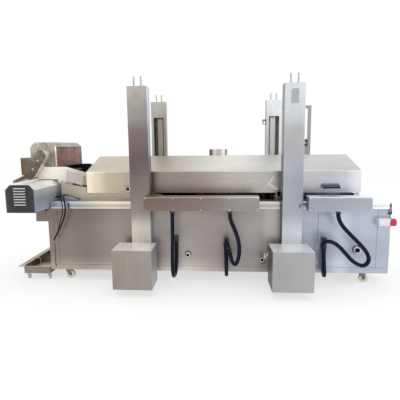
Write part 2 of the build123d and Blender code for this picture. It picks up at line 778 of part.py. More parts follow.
with BuildPart() as parking_hooks:
    hook_x = right_column + 94
    hook_y = across(front, half_body + column_depth)
    block((hook_x - 18, hook_x + 18), (hook_y - 5, hook_y), (902, 946))
    block((hook_x - 18, hook_x + 18), (hook_y - 34, hook_y - 5), (902, 907))
    block((hook_x - 18, hook_x + 18), (hook_y - 34, hook_y - 29), (907, 930))
    hook_x = right_column - column_width / 2
    hook_y = across(rear, half_body + column_depth / 2)
    block((hook_x - 5, hook_x), (hook_y - 18, hook_y + 18), (1862, 1926))
    block((hook_x - 40, hook_x - 5), (hook_y - 18, hook_y + 18), (1862, 1867))
    block((hook_x - 40, hook_x - 35), (hook_y - 18, hook_y + 18), (1867, 1900))
save(parking_hooks.part, "parking_hooks")


def hat_outline(left, bottom, top):
    """Return the X, Z outline of a cover with chamfered top edges."""
    right = left + cover_width
    return (
        (left, bottom),
        (right, bottom),
        (right, top - cover_chamfer_z),
        (right - cover_chamfer_x, top),
        (left + cover_chamfer_x, top),
        (left, top - cover_chamfer_z),
    )


def inset_outline(left, bottom, top, wall):
    """Return the inner outline of the same cover, open at the bottom."""
    right = left + cover_width
    lean = wall * 0.42
    return (
        (left + wall, bottom - 1),
        (right - wall, bottom - 1),
        (right - wall, top - cover_chamfer_z - lean),
        (right - cover_chamfer_x - lean, top - wall),
        (left + cover_chamfer_x + lean, top - wall),
        (left + wall, top - cover_chamfer_z - lean),
    )


# Louvred cover over the scraper's gearmotor, standing on a console at the discharge end
motor_left = body_left + motor_cover_left_station
motor_middle = motor_left + cover_width / 2
motor_zs = (motor_cover_bottom, motor_cover_top)
with BuildPart() as motor_cover:
    slab(hat_outline(motor_left, *motor_zs), motor_cover_front, motor_cover_back)
    hollow = inset_outline(motor_left, *motor_zs, box_sheet)
    slab(hollow, motor_cover_front + box_sheet, motor_cover_back - box_sheet, Mode.SUBTRACT)
    hole_start = (scraper_x, motor_cover_back - box_sheet - 1, scraper_height)
    rod(hole_start, (0, 1, 0), scraper_shaft_radius + 10, box_sheet + 2, Mode.SUBTRACT)
    louvre_x = motor_middle - louvre_length / 2
    for index in range(louvre_count):
        louvre_z = motor_cover_bottom + 82 + index * louvre_pitch
        for inset, mode in ((0, Mode.ADD), (box_sheet, Mode.SUBTRACT)):
            back = motor_cover_front + 2 * inset
            with BuildSketch(Plane(origin=(louvre_x + inset, 0, 0), x_dir=(0, 1, 0), z_dir=(1, 0, 0))) as blade:
                with BuildLine() as lip:
                    Polyline(
                        (back, louvre_z - inset),
                        (motor_cover_front - louvre_reach + inset, louvre_z - inset),
                        (motor_cover_front - louvre_reach + inset, louvre_z + 1),
                        (back, louvre_z + louvre_rise - inset),
                        close=True,
                    )
                make_face(lip.edges())
            extrude(blade.sketch, amount=louvre_length - 2 * inset, mode=mode)
save(motor_cover.part, "motor_cover")

# Gearmotors of the two lifts and of the scraper
with BuildPart() as gearmotors:
    for column_x in column_centres:
        case_ys = (box_back - 170, box_back - 40)
        case_zs = (lift_shaft_height - 75, lift_shaft_height + 75)
        block((column_x - 75, column_x + 75), case_ys, case_zs)
        motor_start = (column_x - 75, box_back - 105, lift_shaft_height)
        rod(motor_start, (-1, 0, 0), 62, 160)
        bore_start = (column_x, box_back - 30, lift_shaft_height)
        rod(bore_start, (0, -1, 0), lift_shaft_radius + running_clearance, 150, Mode.SUBTRACT)
    case_ys = (motor_cover_back - 190, motor_cover_back - 20)
    block((scraper_x - 70, scraper_x + 70), case_ys, (motor_cover_bottom, scraper_height + 75))
    rod((scraper_x, case_ys[0], scraper_height), (0, -1, 0), 78, 330)
    bore_start = (scraper_x, case_ys[1] + 1, scraper_height)
    rod(bore_start, (0, -1, 0), scraper_shaft_radius + running_clearance, 60, Mode.SUBTRACT)
save(gearmotors.part, "gearmotors")

# Two free motor leads that hang in front of the corner sheet with bare ends
lead_x = motor_left + cover_width
lip_y = front_face - flange_reach
deck_z = flange_top + 29
thick_route = [
    (lead_x, lip_y + 185, deck_z),
    (lead_x + 60, lip_y + 185, deck_z),
    (lead_x + 131, lip_y + 85, deck_z + 20),
    (lead_x + 173, lip_y + 5, deck_z + 32),
    (lead_x + 203, lip_y - 43, deck_z - 7),
    (lead_x + 216, lip_y - 47, deck_z - 97),
    (lead_x + 200, lip_y - 43, deck_z - 187),
    (lead_x + 150, lip_y - 35, deck_z - 297),
    (lead_x + 90, lip_y - 29, deck_z - 397),
    (lead_x + 46, lip_y - 25, deck_z - 473),
]
thin_route = [
    (lead_x, lip_y + 140, deck_z - 6),
    (lead_x + 50, lip_y + 140, deck_z - 6),
    (lead_x + 116, lip_y + 50, deck_z + 5),
    (lead_x + 157, lip_y - 20, deck_z + 10),
    (lead_x + 181, lip_y - 56, deck_z - 32),
    (lead_x + 190, lip_y - 60, deck_z - 107),
    (lead_x + 172, lip_y - 60, deck_z - 197),
    (lead_x + 141, lip_y - 58, deck_z - 277),
    (lead_x + 124, lip_y - 58, deck_z - 355),
]
thick_lead, cord_lengths["motor_lead_thick"] = build_cord(thick_route, 9)
save(thick_lead, "motor_lead_thick")
thin_lead, cord_lengths["motor_lead_thin"] = build_cord(thin_route, 5.5)
save(thin_lead, "motor_lead_thin")

# Swivel casters: a plate on the frame, a fork with a king pin and a wheel
plate_thick = 8
caster_spots = {
    "front_left": (body_left + caster_left_station, across(front, half_body - caster_inset)),
    "front_right": (body_left + caster_right_station, across(front, half_body - caster_inset)),
    "rear_left": (body_left + caster_left_station, across(rear, half_body - caster_inset)),
    "rear_right": (body_left + caster_right_station, across(rear, half_body - caster_inset)),
}
king_pin = 9
# Welded base frame: two long tubes, cross tubes, posts and the rails under the tank's flange
frame_tube = 60
post_xs = (body_left, body_left + 760, left_column + 330, right_column - 420, right_column + 440)
hollow_zs = (body_bottom + sheet, body_bottom + rail_height - sheet)
frame_solids = []
for side in (front, rear):
    with BuildPart() as side_frame:
        outer = across(side, half_body - sheet)
        inner = across(side, half_body - sheet - frame_tube)
        block((body_left, body_right), (outer, inner), (body_bottom, body_bottom + rail_height))
        hollow_ys = (across(side, half_body - 2 * sheet), across(side, half_body - frame_tube))
        block((body_left, body_right), hollow_ys, hollow_zs, Mode.SUBTRACT)
        rail_zs = (panel_top - 40, panel_top - sheet)
        block((body_left, body_right), (outer, across(side, half_body - 43)), rail_zs)
        for post_x in (*post_xs, body_right - frame_tube):
            post_zs = (body_bottom + rail_height, panel_top - 40)
            block((post_x, post_x + frame_tube), (outer, inner), post_zs)
            block((post_x + sheet, post_x + frame_tube - sheet), hollow_ys, post_zs, Mode.SUBTRACT)
        # Plates that take the king pins of the casters
        for spot, (caster_x, caster_y) in caster_spots.items():
            if (caster_y < middle) != (side == front):
                continue
            plate_xs = (caster_x - 55, caster_x + 55)
            plate_ys = (caster_y - 45, caster_y + 45)
            block(plate_xs, plate_ys, (body_bottom - plate_thick, body_bottom))
            block(plate_xs, (caster_y - side * 45, inner), (body_bottom, body_bottom + 20))
            pin_start = (caster_x, caster_y, body_bottom - plate_thick - 1)
            rod(pin_start, (0, 0, 1), king_pin + running_clearance, plate_thick + 13, Mode.SUBTRACT)
    frame_solids.extend(side_frame.part.solids())
with BuildPart() as console:
    # Console under the scraper's motor cover
    deck_ys = (motor_cover_front + 40, motor_cover_back)
    block((motor_left, body_left - sheet), deck_ys, (motor_cover_bottom - 8, motor_cover_bottom))
    brace_ys = (front_face + 8, front_face + 170)
    brace_top = motor_cover_bottom - 40
    block((body_left - 145, body_left - sheet), brace_ys, (brace_top - 125, brace_top))
    block((body_left - 120, body_left - 40), brace_ys, (brace_top, motor_cover_bottom - 8))
frame_solids.extend(console.part.solids())
save(Compound(frame_solids), "base_frame")

with BuildPart() as cross_ties:
    tie_ys = (across(front, half_body - sheet - frame_tube), across(rear, half_body - sheet - frame_tube))
    for tie_x in (*post_xs, body_right - frame_tube):
        block((tie_x, tie_x + frame_tube), tie_ys, (body_bottom, body_bottom + rail_height))
        hollow_xs = (tie_x + sheet, tie_x + frame_tube - sheet)
        block(hollow_xs, tie_ys, hollow_zs, Mode.SUBTRACT)
save(cross_ties.part, "cross_ties")

fork_top = body_bottom - plate_thick - 0.4
for spot, (caster_x, caster_y) in caster_spots.items():
    axle_x = caster_x + caster_trail
    with BuildPart() as fork:
        rod((caster_x, caster_y, fork_top), (0, 0, -1), 34, 10)
        rod((caster_x, caster_y, fork_top), (0, 0, 1), king_pin, 18)
        block((caster_x - 26, axle_x + 12), (caster_y - 24, caster_y + 24), (fork_top - 16, fork_top - 10))
        for cheek in (-1, 1):
            cheek_outline = (
                (caster_x - 26, fork_top - 10),
                (axle_x + 12, fork_top - 10),
                (axle_x + 14, caster_wheel_radius - 14),
                (axle_x - 14, caster_wheel_radius - 14),
            )
            cheek_ys = sorted((caster_y + cheek * 20, caster_y + cheek * 24))
            slab(cheek_outline, *cheek_ys)
        rod((axle_x, caster_y - 28, caster_wheel_radius), (0, 1, 0), 6, 56)
    save(fork.part, f"caster_fork_{spot}")
    with BuildPart() as wheel:
        rod((axle_x, caster_y - 16, caster_wheel_radius), (0, 1, 0), caster_wheel_radius, 32)
        fillet(wheel.edges(), radius=4)
        rod((axle_x, caster_y - 18, caster_wheel_radius), (0, 1, 0), 12, 36)
        bore_start = (axle_x, caster_y - 20, caster_wheel_radius)
        rod(bore_start, (0, 1, 0), 6 + running_clearance, 40, Mode.SUBTRACT)
    save(wheel.part, f"caster_wheel_{spot}")

# Crumb tray on small rollers under the spout
tray_right = body_left - 10
tray_left = tray_right - tray_length
tray_ys = (front_face, rear_face)
pan_xs = (tray_left + 64, tray_right - 16)
pan_ys = (tray_ys[0] + 16, tray_ys[1] - 16)
with BuildPart() as tray_pan:
    block(pan_xs, pan_ys, (tray_pan_bottom, tray_rim_height - sheet))
    block((tray_left, tray_right), tray_ys, (tray_rim_height - sheet, tray_rim_height))
    hollow_xs = (pan_xs[0] + box_sheet, pan_xs[1] - box_sheet)
    hollow_ys = (pan_ys[0] + box_sheet, pan_ys[1] - box_sheet)
    block(hollow_xs, hollow_ys, (tray_pan_bottom + box_sheet, tray_rim_height), Mode.SUBTRACT)
    for share in (1 / 3, 2 / 3):
        divider_y = hollow_ys[0] + share * (hollow_ys[1] - hollow_ys[0])
        block(hollow_xs, (divider_y - 1, divider_y + 1), (tray_pan_bottom + box_sheet, tray_rim_height - 20))
save(tray_pan.part, "tray_pan")

tray_wheel_xs = (pan_xs[0] + 30, pan_xs[1] - 30)
tray_wheel_ys = {"front": tray_ys[0] + 60, "rear": tray_ys[1] - 60}
with BuildPart() as tray_forks:
    for wheel_y in tray_wheel_ys.values():
        for wheel_x in tray_wheel_xs:
            block((wheel_x - 16, wheel_x + 16), (wheel_y - 16, wheel_y + 16), (tray_pan_bottom - 5, tray_pan_bottom))
            for cheek in (-1, 1):
                cheek_xs = (wheel_x + cheek * 12, wheel_x + cheek * 15)
                block(cheek_xs, (wheel_y - 12, wheel_y + 12), (tray_wheel_radius - 8, tray_pan_bottom - 5))
            rod((wheel_x - 15, wheel_y, tray_wheel_radius), (1, 0, 0), 4, 30)
save(tray_forks.part, "tray_forks")

for place, wheel_y in tray_wheel_ys.items():
    with BuildPart() as tray_wheels:
        for wheel_x in tray_wheel_xs:
            rod((wheel_x - 10, wheel_y, tray_wheel_radius), (1, 0, 0), tray_wheel_radius, 20)
            bore_start = (wheel_x - 11, wheel_y, tray_wheel_radius)
            rod(bore_start, (1, 0, 0), 4 + running_clearance, 22, Mode.SUBTRACT)
    save(tray_wheels.part, f"tray_wheels_{place}")

# Conveyor side frames: level at the head, down the incline and level again in the oil
head_x = body_left + head_station
tail_x = body_left + tail_station
incline_top = body_left + incline_top_station
incline_foot = body_left + incline_foot_station
frame_left = head_x - 65
frame_right = tail_x + 70
top_line = (
    (frame_left, frame_top),
    (incline_top, frame_top),
    (incline_foot, incline_foot_top + 20),
    (frame_right, incline_foot_top + 20),
)
bottom_line = [(x - 20 * (0 < i < 3), z - frame_height) for i, (x, z) in enumerate(top_line)]
tail_radius = 50
skirt_gap = 4
skirt_left = incline_top + 53
skirt_right = skirt_left + 195
tail_height = incline_foot_top - belt_thickness - tail_radius
shaft_radius = 20
left_lug_zs = (coaming_top + 3, coaming_top + 56)
right_lug_zs = (coaming_top - 65, coaming_top + 4)
lug_spots = ((left_lug, left_lug_zs, left_lug_zs[0]), (right_lug, right_lug_zs, incline_foot_top))
lug_reach = hood_half_width + 6.5
tie_xs = (frame_left + 330, incline_top + 300, left_column, incline_foot + 166, right_column)


def frame_middle(x):
    """Return the height of the side frame's middle line at a place along the machine."""
    for (left_x, left_z), (right_x, right_z) in zip(top_line, top_line[1:]):
        if left_x <= x <= right_x:
            return left_z + (right_z - left_z) * (x - left_x) / (right_x - left_x) - frame_height / 2
    return top_line[-1][1] - frame_height / 2


with BuildPart() as conveyor_frames:
    for side in (front, rear):
        plate_ys = sorted((across(side, frame_half_width), across(side, frame_half_width - frame_plate)))
        slab((*top_line, *reversed(bottom_line)), *plate_ys)
        for shaft_x, shaft_z in ((head_x, head_height), (tail_x, tail_height)):
            bore_start = (shaft_x, plate_ys[0] - 1, shaft_z)
            rod(bore_start, (0, 1, 0), shaft_radius + running_clearance, frame_plate + 2, Mode.SUBTRACT)
        # Lifting lugs that stick out under the hood's edge, with the upright that carries the low one
        for lug_xs, lug_zs, upright_foot in lug_spots:
            lug_ys = (across(side, lug_reach), across(side, frame_half_width))
            block(lug_xs, lug_ys, lug_zs)
            block(lug_xs, plate_ys, (upright_foot, lug_zs[1]))
            socket_xs = (lug_xs[0] + 5, lug_xs[1] - 5)
            socket_ys = (across(side, lug_reach), across(side, lug_reach - 40))
            block(socket_xs, socket_ys, (lug_zs[0] + 5, lug_zs[1] - 5), Mode.SUBTRACT)
        # Skirt plate outside the trough's wall, on two stand-offs
        skirt_u = tank_half_width + skirt_gap
        skirt_ys = sorted((across(side, skirt_u), across(side, skirt_u + sheet)))
        skirt_outline = [
            (skirt_left, frame_middle(skirt_left) + 62),
            (skirt_right, frame_middle(skirt_right) + 50),
            (skirt_right - 17, frame_middle(skirt_right) - 71),
            (skirt_left - 25, frame_middle(skirt_left) - 63),
        ]
        slab(skirt_outline, *skirt_ys)
        for stand_x in (skirt_left + 40, skirt_right - 40):
            stand_z = frame_middle(stand_x) + 30
            stand_start = (stand_x, across(side, frame_half_width), stand_z)
            rod(stand_start, (0, side, 0), 10, skirt_u - frame_half_width)
    for tie_x in tie_xs:
        inner = frame_half_width - frame_plate
        rod((tie_x, across(front, inner), frame_middle(tie_x)), (0, 1, 0), 17, 2 * inner)
save(conveyor_frames.part, "conveyor_frames")

# Mesh belt as a closed band around the head and tail rollers
head_rim = roller_radius + 1
tail_rim = tail_radius + 1


def belt_outline(extra):
    """Return the edges of the belt's side view, grown by a distance from its inner face."""
    head, tail = head_rim + extra, tail_rim + extra
    lean = extra * 0.15
    upper = ((incline_top + lean, head_height + head), (incline_foot + lean, tail_height + tail))
    lower = ((incline_foot - 20 - lean, tail_height - tail), (incline_top - 20 - lean, head_height - head))
    Line((head_x, head_height + head), upper[0])
    Line(*upper)
    Line(upper[1], (tail_x, tail_height + tail))
    tail_nose = (tail_x + tail, tail_height)
    ThreePointArc((tail_x, tail_height + tail), tail_nose, (tail_x, tail_height - tail))
    Line((tail_x, tail_height - tail), lower[0])
    Line(*lower)
    Line(lower[1], (head_x, head_height - head))
    head_nose = (head_x - head, head_height)
    ThreePointArc((head_x, head_height - head), head_nose, (head_x, head_height + head))


belt_plane = Plane(origin=(0, across(front, belt_half_width), 0), x_dir=(1, 0, 0), z_dir=(0, -1, 0))
with BuildPart() as mesh_belt:
    for extra, belt_mode in ((belt_thickness, Mode.ADD), (0, Mode.SUBTRACT)):
        with BuildSketch(belt_plane) as side_view:
            with BuildLine() as belt_edge:
                belt_outline(extra)
            make_face(belt_edge.edges())
        extrude(side_view.sketch, amount=-2 * belt_half_width, mode=belt_mode)
save(mesh_belt.part, "mesh_belt")

# Rollers with their shafts; the head shaft carries the driven chain wheel inside the guard
guard_front = across(front, frame_half_width + 98)
inner_frame = frame_half_width - frame_plate
with BuildPart() as head_shaft:
    shaft_ys = (guard_front + 16, across(rear, frame_half_width + 20))
    rod((head_x, shaft_ys[0], head_height), (0, 1, 0), shaft_radius, shaft_ys[1] - shaft_ys[0])
    rod((head_x, across(front, belt_half_width), head_height), (0, 1, 0), roller_radius, 2 * belt_half_width)
    rod((head_x, guard_front + 24, head_height), (0, 1, 0), 40, 12)
save(head_shaft.part, "head_shaft")

with BuildPart() as tail_shaft:
    tail_start = (tail_x, across(front, frame_half_width + 12), tail_height)
    rod(tail_start, (0, 1, 0), shaft_radius, 2 * frame_half_width + 24)
    rod((tail_x, across(front, belt_half_width), tail_height), (0, 1, 0), tail_radius, 2 * belt_half_width)
save(tail_shaft.part, "tail_shaft")

# Conveyor drive on top of the head section: bridge, gearmotor, hat cover and chain guard
drive_left = body_left + head_cover_left_station
drive_x = drive_left + 181
drive_z = head_cover_bottom + 131
head_cover_ys = (across(front, frame_half_width - 5), across(rear, frame_half_width - 4))
with BuildPart() as drive_gearmotor:
    bridge_ys = (across(front, frame_half_width), across(rear, frame_half_width))
    block((drive_left, drive_left + cover_width), bridge_ys, (frame_top, head_cover_bottom))
    case_ys = (head_cover_ys[0] + 30, head_cover_ys[0] + 190)
    block((drive_x - 70, drive_x + 70), case_ys, (head_cover_bottom, drive_z + 72))
    rod((drive_x, case_ys[1], drive_z), (0, 1, 0), 80, 320)
    rod((drive_x, case_ys[0], drive_z), (0, -1, 0), 14, case_ys[0] - guard_front - 16)
    rod((drive_x, guard_front + 24, drive_z), (0, 1, 0), 40, 12)
save(drive_gearmotor.part, "drive_gearmotor")

with BuildPart() as head_cover:
    cover_zs = (head_cover_bottom, head_cover_top)
    slab(hat_outline(drive_left, *cover_zs), *head_cover_ys)
    hollow = inset_outline(drive_left, *cover_zs, box_sheet)
    slab(hollow, head_cover_ys[0] + box_sheet, head_cover_ys[1] - box_sheet, Mode.SUBTRACT)
    hole_start = (drive_x, head_cover_ys[0] - 1, drive_z)
    rod(hole_start, (0, 1, 0), 20, box_sheet + 2, Mode.SUBTRACT)
save(head_cover.part, "head_cover")

guard_radius = 62
guard_back = across(front, frame_half_width)
guard_middle = Vector((head_x + drive_x) / 2, guard_front, (head_height + drive_z) / 2)
guard_run = Vector(drive_x - head_x, 0, drive_z - head_height)
guard_plane = Plane(origin=guard_middle, x_dir=guard_run, z_dir=(0, -1, 0))
with BuildPart() as chain_guard:
    with BuildSketch(guard_plane) as outside:
        SlotCenterToCenter(guard_run.length, 2 * guard_radius)
    extrude(outside.sketch, amount=guard_front - guard_back)
    with BuildSketch(guard_plane.offset(-box_sheet)) as inside:
        SlotCenterToCenter(guard_run.length, 2 * guard_radius - 2 * box_sheet)
    extrude(inside.sketch, amount=guard_front - guard_back, mode=Mode.SUBTRACT)
    fillet(chain_guard.faces().sort_by(Axis.Y)[0].outer_wire().edges(), radius=1.5)
    for share in (-0.22, 0.22):
        bolt_at = guard_middle + guard_run * share
        rod(bolt_at, (0, -1, 0), 8, 7)
save(chain_guard.part, "chain_guard")

# Discharge chute under the head roller with its drop plate
chute_tip = body_left - chute_reach
chute_tip_height = head_height - 118
chute_back_height = head_height - 49
chute_back = frame_left
chute_ys = (across(front, frame_half_width - 2), across(rear, frame_half_width - 2))
drop_x = head_x - 167
hanger_top = frame_top + 108
with BuildPart() as discharge_chute:
    chute_floor = (
        (chute_back, chute_back_height),
        (chute_tip + 14, chute_tip_height),
        (chute_tip + 15, chute_tip_height + 3),
        (chute_back, chute_back_height + 3),
    )
    slab(chute_floor, *chute_ys)
    for side in (front, rear):
        cheek_outline = (
            (chute_back, chute_back_height),
            (chute_tip + 14, chute_tip_height),
            (chute_tip, chute_tip_height + 31),
            (head_x - 123, head_height - 15),
            (chute_back, head_height + 7),
        )
        cheek_ys = sorted((across(side, frame_half_width - 2), across(side, frame_half_width - 5)))
        slab(cheek_outline, *cheek_ys)
        hanger_ys = (across(side, frame_half_width - 5), across(side, frame_half_width - 8))
        block((drop_x, frame_left), hanger_ys, (head_height - 20, hanger_top))
        block((frame_left, drive_left), hanger_ys, (frame_top, hanger_top))
    block((drop_x, drop_x + 3), (chute_ys[0] + 6, chute_ys[1] - 6), (head_height - 20, hanger_top))
save(discharge_chute.part, "discharge_chute")

# Gabled hood: a folded shell, closed at the infeed end, open under the gable where the conveyor leaves
hood_left = body_left + hood_left_station
hood_right = hood_left + hood_length
hood_sheet = 3
mouth_top = 1352


def gable(half, bottom, eave, ridge, xs, mode=Mode.ADD):
    """Add or cut a prism with a gabled end view between two X planes."""
    with BuildSketch(Plane(origin=(xs[0], middle, 0), x_dir=(0, 1, 0), z_dir=(1, 0, 0))) as end_view:
        with BuildLine() as edge:
            Polyline((-half, bottom), (half, bottom), (half, eave), (0, ridge), (-half, eave), close=True)
        make_face(edge.edges())
    extrude(end_view.sketch, amount=xs[1] - xs[0], mode=mode)


collar_x = body_left + collar_station
collar_y = across(rear, collar_from_middle)
roof_drop = (hood_ridge - hood_eave) / hood_half_width
hook_x = body_left + 2589.5
hook_z = 1212
pivot_radius = 8
with BuildPart() as hood_shell:
    gable(hood_half_width, hood_bottom, hood_eave, hood_ridge, (hood_left, hood_right))
    inner_half = hood_half_width - hood_sheet
    inner_eave = hood_eave - hood_sheet * 0.8
    inner_ridge = inner_eave + roof_drop * inner_half
    inner_xs = (hood_left + hood_sheet, hood_right - hood_sheet)
    gable(inner_half, hood_bottom - 1, inner_eave, inner_ridge, inner_xs, Mode.SUBTRACT)
    mouth_ys = (across(front, inner_half), across(rear, inner_half))
    mouth_xs = (hood_left - 1, hood_left + hood_sheet + 1)
    mouth_half = (inner_ridge - mouth_top) / roof_drop
    gable(inner_half, hood_bottom - 1, inner_eave, inner_ridge, mouth_xs, Mode.SUBTRACT)
    gable_sill = [(-mouth_half, mouth_top), (mouth_half, mouth_top), (0, inner_ridge)]
    with BuildSketch(Plane(origin=(hood_left, middle, 0), x_dir=(0, 1, 0), z_dir=(1, 0, 0))) as sill:
        with BuildLine() as sill_edge:
            Polyline(*gable_sill, close=True)
        make_face(sill_edge.edges())
    extrude(sill.sketch, amount=hood_sheet)
    for lug_xs, lug_zs, upright_foot in lug_spots:
        for side in (front, rear):
            notch_xs = (lug_xs[0] - 7, lug_xs[1] + 7)
            notch_ys = (across(side, hood_half_width + 1), across(side, inner_half - 1))
            block(notch_xs, notch_ys, (hood_bottom - 1, lug_zs[1] + 7), Mode.SUBTRACT)
    for side in (front, rear):
        pivot_start = (hook_x, across(side, hood_half_width), hook_z)
        rod(pivot_start, (0, side, 0), pivot_radius, 18)
        rod((hook_x, across(side, hood_half_width), hook_z), (0, side, 0), 14, 8)
    hole_start = (collar_x, collar_y, hood_eave - 20)
    rod(hole_start, (0, 0, 1), collar_radius - 3, 300, Mode.SUBTRACT)
save(hood_shell.part, "hood_shell")

with BuildPart() as exhaust_collar:
    rod((collar_x, collar_y, hood_eave), (0, 0, 1), collar_radius, collar_top - hood_eave)
    rod((collar_x, collar_y, hood_eave - 1), (0, 0, 1), collar_radius - 3, 400, Mode.SUBTRACT)
    cut_xs = (collar_x - collar_radius - 5, collar_x + collar_radius + 5)
    gable(hood_half_width, hood_bottom, hood_eave, hood_ridge, cut_xs, Mode.SUBTRACT)
    # Rolled bead that a slipped-on duct stops against
    bead_start = (collar_x, collar_y, collar_top - collar_grip - collar_bead)
    rod(bead_start, (0, 0, 1), collar_radius + 5, collar_bead)
    rod(bead_start, (0, 0, 1), collar_radius - 3, collar_bead, Mode.SUBTRACT)
    bead_edges = exhaust_collar.edges().filter_by(GeomType.CIRCLE)
    bead_edges = bead_edges.filter_by(lambda edge: edge.radius > collar_radius + 4)
    fillet(bead_edges, radius=3.5)
save(exhaust_collar.part, "exhaust_collar")

# Lift carriages: a shoe inside each column and an arm through its slot to a plate on the hood's side
shoe_gap = 0.5
with BuildPart() as lift_carriages:
    for column_x in column_centres:
        for side in (front, rear):
            shoe_half = column_width / 2 - column_wall - shoe_gap
            shoe_ys = (across(side, half_body + column_wall + shoe_gap), across(side, half_body + 54))
            block((column_x - shoe_half, column_x + shoe_half), shoe_ys, (hood_bottom - 30, hood_bottom + 130))
            arm_ys = (across(side, half_body + column_wall + shoe_gap), across(side, hood_half_width + 8))
            block((column_x - 55, column_x + 55), arm_ys, (hood_bottom + 41, hood_bottom + 91))
            pad_ys = (across(side, hood_half_width), across(side, hood_half_width + 8))
            block((column_x - 80, column_x + 80), pad_ys, (hood_bottom + 27, hood_bottom + 107))
save(lift_carriages.part, "lift_carriages")

handle_left = body_left + 3131.5
handle_right = handle_left + 178
handle_zs = (hood_bottom + 63, hood_bottom + 85)
with BuildPart() as hood_handle:
    handle_face = across(front, hood_half_width)
    block((handle_left, handle_right), (handle_face, handle_face - 42), handle_zs)
    gap_xs = (handle_left + 24, handle_right - 24)
    block(gap_xs, (handle_face, handle_face - 28), (handle_zs[0] - 1, handle_zs[1] + 1), Mode.SUBTRACT)
    grip_edges = hood_handle.edges().filter_by(Axis.Z).sort_by(Axis.Y)[:2]
    fillet(grip_edges, radius=13)
save(hood_handle.part, "hood_handle")

# Flat hooks that hang on the hood and catch the conveyor's right lugs
for side, place in ((front, "front"), (rear, "rear")):
    with BuildPart() as hook:
        bar = 13
        hook_outline = (
            (hook_x - bar, hook_z + bar),
            (hook_x + bar, hook_z + bar),
            (hook_x + bar, hook_z - bar),
            (hook_x - 34, hook_z - 75),
            (hook_x + 62, hook_z - 130),
            (hook_x + 46, hook_z - 154),
            (hook_x - 70, hook_z - 86),
            (hook_x - 70, hook_z - 70),
        )
        hook_ys = sorted((across(side, hood_half_width + 8.5), across(side, hood_half_width + 14.5)))
        slab(hook_outline, *hook_ys)
        bore_start = (hook_x, hook_ys[0] - 1, hook_z)
        rod(bore_start, (0, 1, 0), pivot_radius + running_clearance, 8, Mode.SUBTRACT)
    save(hook.part, f"{place}_hook")

for cord_name, cord_length in cord_lengths.items():
    print(f"{cord_name} is {cord_length:.0f} mm long")
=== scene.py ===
"""Dress a continuous fryer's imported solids: finishes, cords, fine hardware, studio and camera.

Every length is in metres in the solids' own frame: X runs from the discharge end to the infeed end,
-Y faces the operator and Z points up from the floor.
"""

import logging
from abc import ABC, abstractmethod
from dataclasses import dataclass, field
from enum import Enum
from math import cos, pi, sin, tau
from typing import ClassVar, Sequence

import bmesh
import bpy
from mathutils import Matrix, Vector


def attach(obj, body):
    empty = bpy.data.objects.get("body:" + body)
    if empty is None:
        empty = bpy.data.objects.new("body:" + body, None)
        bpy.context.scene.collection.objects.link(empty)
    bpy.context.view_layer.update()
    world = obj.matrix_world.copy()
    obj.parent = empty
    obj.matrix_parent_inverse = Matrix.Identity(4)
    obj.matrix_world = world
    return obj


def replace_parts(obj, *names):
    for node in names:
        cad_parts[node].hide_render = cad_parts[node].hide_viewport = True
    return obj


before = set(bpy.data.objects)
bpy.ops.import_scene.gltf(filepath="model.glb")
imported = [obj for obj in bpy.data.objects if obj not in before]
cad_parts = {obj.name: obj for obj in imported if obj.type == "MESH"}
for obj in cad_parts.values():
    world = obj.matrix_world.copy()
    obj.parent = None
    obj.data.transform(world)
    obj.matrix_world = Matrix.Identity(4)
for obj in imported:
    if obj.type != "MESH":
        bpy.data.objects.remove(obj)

Colour = tuple[float, float, float]
Point = tuple[float, float, float]
Pair = tuple[float, float]
# A place along an axis in metres, with the red, green and blue there
Tone = tuple[float, float, float, float]
Shape = bmesh.types.BMesh
Socket = bpy.types.NodeSocket

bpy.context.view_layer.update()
log = logging.getLogger("fryer")


class Axis(Enum):
    """A direction that a grain or a gradient runs along."""

    X = 0
    Y = 1
    Z = 2


class Side(Enum):
    """A side of the machine that a sheet can face, as an axis with a sign."""

    FRONT = (1, -1.0)
    LEFT = (0, -1.0)
    RIGHT = (0, 1.0)
    TOP = (2, 1.0)


class Blend(Enum):
    """A way to mix two colours."""

    MIX = "MIX"
    MULTIPLY = "MULTIPLY"


class FarEnd(Enum):
    """What a cord's far end has."""

    OBJECT = "object"
    BARE = "bare"


class Stiffness(Enum):
    """How stiff a cord is."""

    MEDIUM = "medium"
    STIFF = "stiff"


@dataclass(frozen=True)
class Tint:
    """A painted change of tone where a sheet faces one side, even or in bands along an axis, for the light,
    shade and highlights that fall on that side.
    """

    side: Side
    colour: Colour = (1.0, 1.0, 1.0)
    axis: Axis = Axis.Z
    bands: tuple[Tone, ...] = ()


# Finishes


